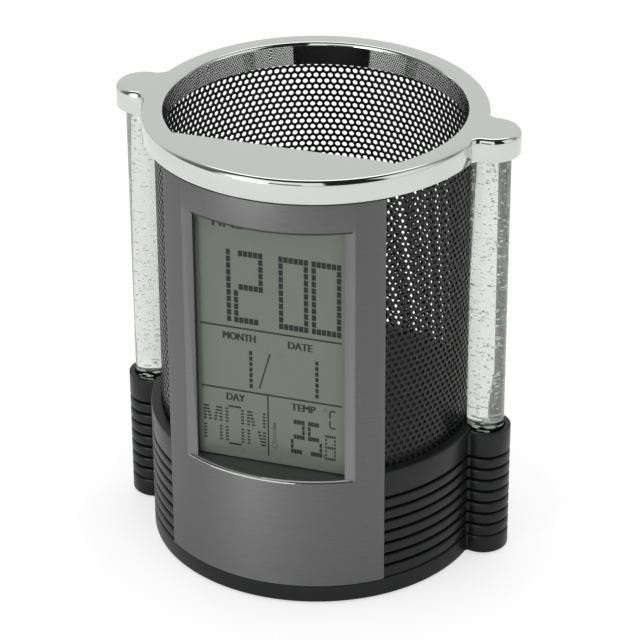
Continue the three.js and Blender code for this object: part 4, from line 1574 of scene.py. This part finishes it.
@dataclass
class DisplayArt:
    """What the display shows: dot-matrix digits, dividing lines and short labels.

    Attributes:
        plane: front of the display glass, as a distance towards the front.
        lift: how far the marks stand off it.
        boldness, bold_lift, bold_copies: a label is copied this far aside and ahead, so many times in all.
        day_pitch, day_dot, day_row: distance of the day's letters, size of a dot and distance of its dots.
        labels: each label with its left, right, foot and head.
    """

    plane: float = 33.2
    lift: float = 0.03
    boldness: float = 0.09
    bold_lift: float = 0.002
    bold_copies: int = 4
    day_pitch: float = 5.48
    day_dot: Pair = (0.72, 0.45)
    day_row: float = 0.87
    labels: tuple[tuple[str, float, float, float, float], ...] = (
        ("TIME", -15.45, -7.1, 96.0, 98.8), ("MONTH", -12.4, -4.4, 66.4, 68.4),
        ("DATE", 3.8, 9.7, 66.3, 68.2), ("DAY", -11.8, -7.3, 49.75, 51.7), ("TEMP", 4.4, 10.4, 49.7, 51.6))

    def tiles(self, name: str, marks: Sequence[Tile]) -> Piece:
        """Lay thin rectangular tiles on the display.

        Args:
            name: the piece's name.
            marks: the tiles.

        Returns:
            The tiles as one piece.
        """
        rest()
        bpy.ops.mesh.primitive_cube_add(size=1.0)
        piece = fresh(name)
        depth = -self.plane - self.lift / 2
        repeat(piece, ((np.array([(left + right) / 2, depth, (low + high) / 2]) * MM,
                        np.array([right - left, self.lift, high - low]) * MM)
                       for left, low, right, high in marks))
        return piece

    @staticmethod
    def digit(kind: str, left: float, top: float, columns: int, rows: int, pitch: Pair,
              dot: Pair) -> list[Tile]:
        """Lay out a seven-segment digit whose segments are rows of dots.

        Args:
            kind: the digit.
            left: left edge.
            top: upper edge.
            columns: dots across.
            rows: dots down, an odd number.
            pitch: distance between dots, across and down.
            dot: size of a dot.

        Returns:
            The dots as tiles.
        """
        last, middle, end = columns - 1, rows // 2, rows - 1
        strokes = {
            "a": [(c, 0) for c in range(columns)], "g": [(c, middle) for c in range(columns)],
            "d": [(c, end) for c in range(columns)], "f": [(0, r) for r in range(middle + 1)],
            "b": [(last, r) for r in range(middle + 1)], "e": [(0, r) for r in range(middle, rows)],
            "c": [(last, r) for r in range(middle, rows)],
        }
        lit = {"0": "abcdef", "1": "bc", "2": "abged", "5": "afgcd", "8": "abcdefg"}[kind]
        missing = {"2": {(0, 0), (last, end), (0, middle)}, "5": {(last, 0), (0, end), (last, middle)}}
        spots = {spot for stroke in lit for spot in strokes[stroke]} - missing.get(kind, set())
        found = []
        for column, row in sorted(spots):
            x, z = left + column * pitch[0], top - row * pitch[1]
            found.append((x, z - dot[1], x + dot[0], z))
        return found

    def digits(self) -> list[Tile]:
        """Lay out the time, the date and the temperature with its decimal point."""
        # Dots across and down, their distances and their size.
        big = (6, 11, (1.23, 1.767), (1.06, 1.5))
        slim = (1, 7, (1.0, 1.49), (0.8, 1.15))
        small = (5, 7, (0.71, 1.36), (0.62, 1.16))
        tiny = (5, 7, (0.54, 1.03), (0.42, 0.66))
        layout = (("1", -17.35, 90.4, big), ("2", -9.4, 90.4, big), ("0", 1.7, 90.4, big),
                  ("0", 9.75, 90.4, big), ("1", -5.87, 64.06, slim), ("1", 10.55, 64.06, slim),
                  ("2", 4.35, 47.2, small), ("5", 8.65, 47.2, small), ("8", 12.95, 44.35, tiny))
        point = (12.55, 37.9, 12.8, 38.7)
        return [dot for kind, left, top, style in layout
                for dot in self.digit(kind, left, top, *style)] + [point]

    def day(self) -> list[Tile]:
        """Lay out the day of the week: fourteen-segment letters, each stroke five dots down."""
        wide, high = self.day_dot
        first, top, lower = -17.6, 47.5, 42.33
        # Where a stroke starts across, how far it leans for each dot, and its top.
        strokes = {"f": (0.0, 0.0, top), "e": (0.0, 0.0, lower), "b": (3.95, 0.0, top),
                   "c": (3.95, 0.0, lower), "h": (0.62, 0.16, top), "j": (3.2, -0.17, top),
                   "k": (2.65, 0.2, lower)}
        # Level strokes, by their top; all run between the same ends.
        bars, ends = {"a": 48.3, "d": 37.95}, (0.75, 4.0)
        found = []
        for index, letter in enumerate(("fehjbc", "feabcd", "fehkbc")):
            left = first + index * self.day_pitch
            for stroke in letter:
                if stroke in bars:
                    found.append((left + ends[0], bars[stroke] - high, left + ends[1], bars[stroke]))
                    continue
                x, lean, start = strokes[stroke]
                for dot in range(5):
                    at, head = left + x + dot * lean, start - dot * self.day_row
                    found.append((at, head - high, at + wide, head))
        return found

    def lines(self) -> list[Tile]:
        """Lay out the dividing lines."""
        return [(-17.95, 69.55, 17.1, 70.0), (-17.95, 52.55, 17.1, 53.0), (-1.5, 36.0, -1.15, 52.6)]

    def slash(self) -> Piece:
        """Model the stroke between month and date."""
        piece = self.tiles("display_stroke", [(-0.18, -5.15, 0.18, 5.15)])
        # Over 9.9 mm it leans 2.8 mm to the right.
        lean = math.atan2(2.8, 9.9)
        piece.data.transform(Matrix.Translation((-2.05 * MM, 0.0, 59.1 * MM)) @ Matrix.Rotation(lean, 4, "Y"))
        return piece

    def word(self, text: str, left: float, right: float, low: float, high: float) -> Piece:
        """Set a short label so that it fills a given box on the display.

        Args:
            text: the label.
            left: its left edge.
            right: its right edge.
            low: its foot.
            high: its head.

        Returns:
            The label as a mesh.
        """
        rest()
        bpy.ops.object.text_add()
        piece = bpy.context.object
        piece.data.body = text
        piece.data.size = 1.0
        piece.data.resolution_u = 3
        bpy.ops.object.convert(target="MESH")
        piece = bpy.context.object
        piece.name = f"label_{text.lower()}"
        points = np.array([v.co for v in piece.data.vertices])
        start, end = points.min(0), points.max(0)
        size = end - start
        scale = Matrix.Diagonal(((right - left) / size[0], (high - low) / size[1], 1.0, 1.0))
        piece.data.transform(Matrix.Scale(MM, 4) @ Matrix.Translation((left, 0.0, low))
                             @ Matrix.Rotation(math.pi / 2, 4, "X") @ scale
                             @ Matrix.Translation((-start[0], -start[1], 0.0)))
        piece.data.transform(Matrix.Translation((0.0, -self.plane * MM, 0.0)))
        modify(piece, "SOLIDIFY", thickness=self.lift * MM, offset=1.0)
        modify(piece, "ARRAY", use_relative_offset=False, use_constant_offset=True,
               constant_offset_displace=(self.boldness * MM, self.bold_lift * MM, 0.0),
               count=self.bold_copies)
        return piece

    def thermometer(self) -> Piece:
        """Model the small thermometer sign: a tube with a bulb, drawn in outline."""
        marks = [(-0.1, 39.9, 0.04, 45.3), (0.46, 39.9, 0.6, 45.3), (-0.02, 45.2, 0.52, 45.5),
                 (0.02, 43.6, 0.48, 45.3), (0.2, 40.0, 0.3, 43.6), (-0.45, 38.75, -0.25, 39.8),
                 (0.75, 38.75, 0.95, 39.8), (-0.3, 38.45, 0.8, 38.75), (-0.3, 39.7, -0.02, 39.95),
                 (0.5, 39.7, 0.8, 39.95)]
        return self.tiles("display_thermometer", marks)

    def degree(self) -> list[Tile]:
        """Lay out the letter after the degree sign, in strokes."""
        return [(14.35, 50.9, 15.5, 51.3), (13.95, 49.1, 14.32, 50.95), (13.95, 46.6, 14.32, 48.45),
                (14.35, 46.2, 15.5, 46.6)]

    def degree_ring(self) -> Piece:
        """Turn the small ring of the degree sign."""
        rest()
        bpy.ops.mesh.primitive_torus_add(major_radius=0.42 * MM, minor_radius=0.08 * MM, major_segments=24,
                                         minor_segments=6, rotation=(math.pi / 2, 0.0, 0.0),
                                         location=(12.95 * MM, -self.plane * MM, 50.95 * MM))
        return fresh("display_degree")

    def dress(self, palette: Palette) -> None:
        """Lay out the display and finish it."""
        paint(["lcd_glass"], palette["display"])
        for piece, finish in (
                (self.tiles("display_digits", self.digits()), "segment"),
                (self.tiles("display_day", self.day()), "segment"),
                (self.tiles("display_lines", self.lines()), "print"),
                (self.tiles("display_unit", self.degree()), "segment"),
                (self.slash(), "print"), (self.thermometer(), "faint"), (self.degree_ring(), "faint"),
                *((self.word(*label), "print") for label in self.labels)):
            settle(piece, Slot.DISPLAY, palette[finish])


@dataclass
class Keypad:
    """Four round keys in the back of the base, each on its own body.

    Attributes:
        profile: half a key's outline, as distance from its axis and distance from the clock's middle.
    """

    count: int = 4
    pitch: float = 6.4
    height: float = 18.0
    profile: tuple[Pair, ...] = (
        (0.0, 34.2), (1.5, 34.2), (1.5, 35.7), (3.0, 35.7), (3.0, 36.7),
        (2.2, 36.7), (2.2, 39.75), (2.05, 40.08), (1.7, 40.2), (0.0, 40.12))

    def key(self, index: int) -> Piece:
        """Turn one key with a slightly dished cap.

        Args:
            index: which key, from 0.

        Returns:
            The key.
        """
        rest()
        bpy.ops.mesh.primitive_plane_add(size=MM)
        piece = bpy.context.object
        piece.name = f"button_{index + 1}_cap"
        edit()
        bpy.ops.mesh.merge(type="CENTER")
        last = (0.0, 0.0)
        for step, (radius, along) in enumerate(self.profile):
            move = ((radius - last[0]) * MM, (along - last[1]) * MM, 0.0)
            if step == 0:
                bpy.ops.transform.translate(value=move)
            else:
                bpy.ops.mesh.extrude_region_move(TRANSFORM_OT_translate={"value": move})
            last = (radius, along)
        select_whole()
        bpy.ops.mesh.spin(steps=40, angle=2 * math.pi, center=(0.0, 0.0, 0.0), axis=(0.0, 1.0, 0.0))
        leave()
        piece.data.transform(Matrix.Translation(((index - (self.count - 1) / 2) * self.pitch * MM, 0.0,
                                                 self.height * MM)))
        tidy(piece, angle=30.0)
        return piece

    def dress(self, palette: Palette) -> None:
        """Build the keys and finish what lies behind them."""
        for index in range(self.count):
            settle(self.key(index), Slot.PLASTIC, palette["inner"], f"button_{index + 1}",
                   body=f"key_{index + 1}")
        paint([f"key_switch_{index + 1}" for index in range(self.count)], palette["component"])
        paint(["key_board"], palette["mask"])


@dataclass
class Softened:
    """A CAD node whose shape is right, copied and given eased edges."""

    node: str
    slot: Slot
    finish: str
    width: float = 0.2
    body: str = "housing"

    def dress(self, palette: Palette) -> None:
        """Ease the copy's edges and finish it."""
        piece = copy_of(self.node, f"{self.node}_eased")
        soften(piece, self.width, angle=38.0)
        tidy(piece, angle=35.0)
        settle(piece, self.slot, palette[self.finish], self.node, body=self.body)


@dataclass
class DisplayFrame(Softened):
    """The frame round the display: its ledge under the window is matt, the rest is smooth and black."""

    ledge: float = 33.9
    ledge_range: float = 0.3

    def dress(self, palette: Palette) -> None:
        """Ease the frame's edges and give the ledge its matt top."""
        super().dress(palette)
        piece = bpy.data.objects[f"{self.node}_eased"]
        piece.data.materials.append(palette["frame"])
        for face in piece.data.polygons:
            level = face.normal.z > 1.0 - UPRIGHT
            face.material_index = int(level and abs(face.center.z / MM - self.ledge) < self.ledge_range)


@dataclass
class ScrewHead:
    """A pan-head screw with a cross recess, standing for one CAD screw.

    Attributes:
        height, crown: height of the head, and the rounding of its top.
        shank, key_shank: radius of the shank, and that of a key screw's.
        sunk, short: how far the shank reaches into the head, and how far before the tip it ends.
        cross, arm: reach of the recess for the head's radius, and half width of its arms for that reach.
    """

    node: str
    height: float = 1.2
    crown: float = 0.45
    shank: float = 1.0
    key_shank: float = 0.8
    sunk: float = 0.3
    short: float = 0.6
    cross: float = 0.55
    arm: float = 0.22
    cross_deep: float = 0.7

    def dress(self, palette: Palette) -> None:
        """Turn the screw where its CAD node is and cut its recess."""
        low, high = (np.array(corner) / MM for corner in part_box(self.node))
        axis = 2 if self.node.startswith(("cover", "deck")) else 1
        length = float((high - low)[axis])
        middle = (low + high) / 2
        faces_low = self.node.startswith(("cover", "deck", "key"))
        shank = self.key_shank if self.node.startswith("key") else self.shank
        head = float(min(np.delete(high - low, axis))) / 2
        piece = cylinder(f"{self.node}_cross", head, -self.height, 0, sides=28)
        round_edges(piece, lambda a, b: max(a.z, b.z) < -self.height + NEAR, self.crown, segments=3)
        tip = length - self.height - self.short
        combine(piece, cylinder("shank", shank, -self.sunk, tip, sides=16), "UNION")
        reach = head * self.cross
        for x, y in ((self.arm * reach, reach), (reach, self.arm * reach)):
            combine(piece, box("recess", (-x, -y, -self.height - PAST),
                               (x, y, -self.height + self.cross_deep)))
        way = 1.0 if faces_low else -1.0
        turn = Matrix.Rotation(0.0 if axis == 2 else -way * math.pi / 2, 4, "X")
        start = middle.copy()
        start[axis] = (low if faces_low else high)[axis] + way * self.height
        piece.data.transform(Matrix.Translation(Vector(start) * MM) @ turn)
        tidy(piece, angle=30.0)
        settle(piece, Slot.SCREW, palette["zinc"], self.node)


@dataclass
class Internals:
    """What the base and the panel hold: cells, contacts, boards and lamps."""

    def dress(self, palette: Palette) -> None:
        """Finish each inner piece."""
        paint(["battery_1", "battery_2"], palette["film"])
        paint(["contact_link", "contact_spring", "contact_plate"], palette["nickel"])
        paint(["buzzer", "thermistor"], palette["component"])
        paint(["led_left", "led_right"], palette["epoxy"])
        paint(["main_board"], palette["mask"])
        paint(["zebra_connector"], palette["elastomer"])


@dataclass
class PhotoCamera:
    """The camera that took the picture, from the fit of the model to it.

    Attributes:
        target, distance: the point that it is turned about, and how far it is from there.
        azimuth, elevation, roll: its bearing, rise and tilt in degrees.
        focal_px, centre_px: focal length, and where its axis meets the picture, in pixels.
        range_m: the nearest and the farthest that it sees, in metres.
    """

    target: tuple[float, float, float] = (0.0, 0.0, 48.75)
    azimuth: float = 18.2788
    elevation: float = 29.3236
    roll: float = -0.2968
    distance: float = 761.13
    focal_px: float = 3089.06
    centre_px: Pair = (316.87, 345.333)
    range_m: Pair = (0.01, 20.0)

    def place(self) -> None:
        """Make the camera and use it."""
        turn, rise, tilt = (math.radians(v) for v in (self.azimuth, self.elevation, self.roll))
        back = Vector((math.sin(turn) * math.cos(rise), -math.cos(turn) * math.cos(rise), math.sin(rise)))
        right = TOP.cross(back).normalized()
        up = back.cross(right)
        right, up = (right * math.cos(tilt) + up * math.sin(tilt),
                     up * math.cos(tilt) - right * math.sin(tilt))
        lens = bpy.data.cameras.new("photo_camera")
        lens.sensor_width = SENSOR_MM
        lens.sensor_fit = "HORIZONTAL"
        lens.lens = self.focal_px / PICTURE * SENSOR_MM
        lens.shift_x = (PICTURE / 2 - self.centre_px[0]) / PICTURE
        lens.shift_y = (self.centre_px[1] - PICTURE / 2) / PICTURE
        lens.clip_start, lens.clip_end = self.range_m
        camera = bpy.data.objects.new("photo_camera", lens)
        turned = Matrix((right, up, back)).transposed().to_4x4()
        camera.matrix_world = Matrix.Translation((Vector(self.target) + back * self.distance) * MM) @ turned
        bpy.context.scene.collection.objects.link(camera)
        bpy.context.scene.camera = camera


@dataclass
class Lamp:
    """A soft rectangular lamp, placed and sized in metres.

    Attributes:
        power: its power in watts.
        in_gloss: whether mirror-like surfaces show it.
        aim: the point that it faces.
    """

    name: str
    at: tuple[float, float, float]
    size: Pair
    power: float
    in_gloss: bool = True
    aim: tuple[float, float, float] = (0.0, 0.0, 0.06)

    def hang(self) -> None:
        """Hang the lamp, facing the clock."""
        light = bpy.data.lights.new(self.name, "AREA")
        light.shape = "RECTANGLE"
        light.size, light.size_y = self.size
        light.energy = self.power
        lamp = bpy.data.objects.new(self.name, light)
        lamp.location = self.at
        lamp.rotation_euler = (Vector(self.at) - Vector(self.aim)).to_track_quat("Z", "Y").to_euler()
        lamp.visible_glossy = self.in_gloss
        bpy.context.scene.collection.objects.link(lamp)


@dataclass
class Studio:
    """A plain pale floor, sized in metres, and soft studio light.

    Attributes:
        floor_glow: share of white that the camera sees in the floor.
        overhead, dark: brightness of the ceiling, and of its dark strip in front.
        fill: brightness of the room to dull surfaces.
        wall_scale: factor on the brightness of the walls.
        axes: the horizontal directions from which the bearing of a mirrored ray is taken.
        left, right: the walls on both sides of the front, white boards with dark gaps between them.
        lower, upper: the lower and the upper part of the front, between these.
        front_split, wall_top, strip_edge: rises between which the lower front gives way to the upper one, the
            walls to the ceiling, and the ceiling to its strip.
    """

    floor_half: float = 4.0
    floor_paint: str = "#E2E2E2"
    floor_glow: float = 0.6
    overhead: float = 2.0
    dark: float = 0.02
    fill: float = 0.55
    wall_scale: float = 2.0
    axes: tuple[tuple[float, float, float], ...] = ((0.3137, -0.9495, 0.0), (0.9495, 0.3137, 0.0))
    left: Stops = ((-180, 0.38), (-115, 0.38), (-95, 0.1), (-68, 0.06), (-58, 0.7))
    lower: Stops = ((-36, 0.8), (-31, 0.08), (-10, 0.08), (-8, 0.5))
    upper: Stops = ((-36, 0.6),)
    right: Stops = ((4, 0.5), (6, 0.01), (42, 0.01), (48, 0.5), (75, 0.45), (95, 0.12), (115, 0.38),
                    (180, 0.38))
    front_split: Pair = (0.27, 0.33)
    wall_top: Pair = (0.80, 0.86)
    strip_edge: Pair = (-0.3, -0.2)

    def floor(self) -> None:
        """Lay the floor: a pale paint, lifted towards white for the camera, where it keeps a soft shadow."""
        rest()
        bpy.ops.mesh.primitive_plane_add(size=2 * self.floor_half)
        plane = fresh("floor")
        made = bpy.data.materials.new("pale studio floor")
        made.use_nodes = True
        tree = made.node_tree
        shader = find_node(tree, "BSDF_PRINCIPLED")
        path = add_node(tree, "ShaderNodeLightPath")
        seen = path.outputs["Is Camera Ray"]
        paint = add_node(tree, "ShaderNodeMix", {0: seen, 6: linear(self.floor_paint), 7: linear("#FFFFFF")},
                         data_type="RGBA")
        feed(shader, {"Base Color": paint.outputs[2], "Roughness": 1.0, "Specular IOR Level": 0.0})
        glow = add_node(tree, "ShaderNodeEmission", {"Color": linear("#FFFFFF"), "Strength": 1.0})
        share = add_node(tree, "ShaderNodeMath", {0: seen, 1: self.floor_glow}, operation="MULTIPLY")
        blend = add_node(tree, "ShaderNodeMixShader", {
            0: share.outputs["Value"], 1: shader.outputs["BSDF"], 2: glow.outputs["Emission"]})
        feed(find_node(tree, "OUTPUT_MATERIAL"), {"Surface": blend.outputs["Shader"]})
        plane.data.materials.append(made)

    def walls(self, tree: Tree, along: Socket,
              stops: Stops) -> Socket:
        """Turn a bearing into the brightness of the wall there.

        Args:
            tree: the room's tree.
            along: the bearing, from 0 behind over 0.5 ahead to 1 behind.
            stops: the walls, in rising order of bearing.

        Returns:
            The brightness.
        """
        ramp = add_node(tree, "ShaderNodeValToRGB", {0: along})
        ramp.color_ramp.elements.remove(ramp.color_ramp.elements[1])
        for index, (degrees, level) in enumerate(stops):
            place = 0.5 + degrees / 360
            stop = ramp.color_ramp.elements[0] if index == 0 else ramp.color_ramp.elements.new(place)
            stop.position = place
            stop.color = (level, level, level, 1.0)
        scaled = add_node(tree, "ShaderNodeMath", {0: ramp.outputs["Color"], 1: self.wall_scale},
                          operation="MULTIPLY")
        return scaled.outputs["Value"]

    def sky(self) -> None:
        """Set the room: white to the camera and through clear pieces, a studio to mirrors and skins."""
        world = bpy.data.worlds.new("studio")
        bpy.context.scene.world = world
        world.use_nodes = True
        tree = world.node_tree
        tree.nodes.clear()
        direction = add_node(tree, "ShaderNodeNewGeometry").outputs["Position"]
        height = add_node(tree, "ShaderNodeSeparateXYZ", {"Vector": direction}).outputs["Z"]
        ahead, aside = (add_node(tree, "ShaderNodeVectorMath", {0: direction, 1: axis},
                                 operation="DOT_PRODUCT").outputs["Value"] for axis in self.axes)
        bearing = add_node(tree, "ShaderNodeMath", {0: aside, 1: ahead}, operation="ARCTAN2")
        along = add_node(tree, "ShaderNodeMapRange", {
            "Value": bearing.outputs["Value"], "From Min": -math.pi, "From Max": math.pi})
        low, high = (self.walls(tree, along.outputs["Result"], self.left + front + self.right)
                     for front in (self.lower, self.upper))
        ceiling = add_node(tree, "ShaderNodeMapRange", {
            "Value": ahead, "From Min": self.strip_edge[0], "From Max": self.strip_edge[1],
            "To Min": self.overhead, "To Max": self.dark})
        split, top = (add_node(tree, "ShaderNodeMapRange", {"Value": height, "From Min": a, "From Max": b})
                      for a, b in (self.front_split, self.wall_top))
        wall = add_node(tree, "ShaderNodeMix", {0: split.outputs["Result"], 2: low, 3: high})
        around = add_node(tree, "ShaderNodeMix", {
            0: top.outputs["Result"], 2: wall.outputs[0], 3: ceiling.outputs["Result"]})
        path = add_node(tree, "ShaderNodeLightPath")
        seen = add_node(tree, "ShaderNodeMath", {
            0: path.outputs["Is Camera Ray"], 1: path.outputs["Is Transmission Ray"]}, operation="MAXIMUM")
        mirror = add_node(tree, "ShaderNodeMix", {
            0: path.outputs["Is Glossy Ray"], 2: self.fill, 3: around.outputs[0]})
        strength = add_node(tree, "ShaderNodeMix", {0: seen.outputs["Value"], 2: mirror.outputs[0], 3: 1.0})
        shade = add_node(tree, "ShaderNodeBackground", {
            "Color": linear("#FFFFFF"), "Strength": strength.outputs[0]})
        add_node(tree, "ShaderNodeOutputWorld", {"Surface": shade.outputs["Background"]})

    def lamps(self) -> list[Lamp]:
        """List the lamps."""
        return [
            Lamp("overhead_softbox", (0.0, 0.15, 1.1), (1.2, 1.0), 9.0, False),
            Lamp("left_softbox", (-1.0, -0.45, 0.55), (0.7, 0.8), 2.2, False),
            Lamp("right_softbox", (0.95, -0.7, 0.6), (0.8, 0.8), 2.6, False),
            Lamp("front_strip", (-0.285, -0.70, 0.16), (0.3, 0.30), 1.45),
        ]

    def light(self) -> None:
        """Set up the whole studio."""
        self.floor()
        self.sky()
        for lamp in self.lamps():
            lamp.hang()
        bpy.context.scene.view_settings.view_transform = "Standard"


def screws() -> list[ScrewHead]:
    """List the screws."""
    names = [f"cover_screw_{i}" for i in range(1, 5)]
    for kind in ("deck", "case", "panel", "key"):
        names += [f"{kind}_screw_{i}" for i in (1, 2)]
    return [ScrewHead(name) for name in names]


def main() -> None:
    """Dress the clock, piece by piece."""
    logging.basicConfig(level=logging.INFO, format="%(message)s")
    palette = Palette.make()
    PhotoCamera().place()
    Studio().light()
    assemblies: list[Any] = [
        TopRing(Outline(radius=41.4, lobe=6.8, fillet=2.5)),
        MeshCup(),
        Pillar(Side.LEFT, "light_rod_left", finish="milky", bubbles=460),
        Pillar(Side.RIGHT, "light_rod_right", chain=26),
        RibbedBase(Outline(radius=41.2, lobe=6.25, fillet=0.6)),
        FrontPanel(),
        DisplayFrame("lcd_frame", Slot.PLASTIC, "inner", 0.12),
        DisplayArt(),
        Softened("case_back", Slot.PLASTIC, "inner", 0.25),
        Keypad(),
        Softened("bottom_cover", Slot.PLASTIC, "base"),
        Softened("battery_door", Slot.PLASTIC, "base", body="door"),
        *[Softened(f"foot_pad_{i}", Slot.RUBBER, "rubber", 0.25) for i in range(1, 5)],
        *screws(),
        Internals(),
    ]
    for assembly in assemblies:
        assembly.dress(palette)
    rest()


if __name__ == "__main__":
    main()
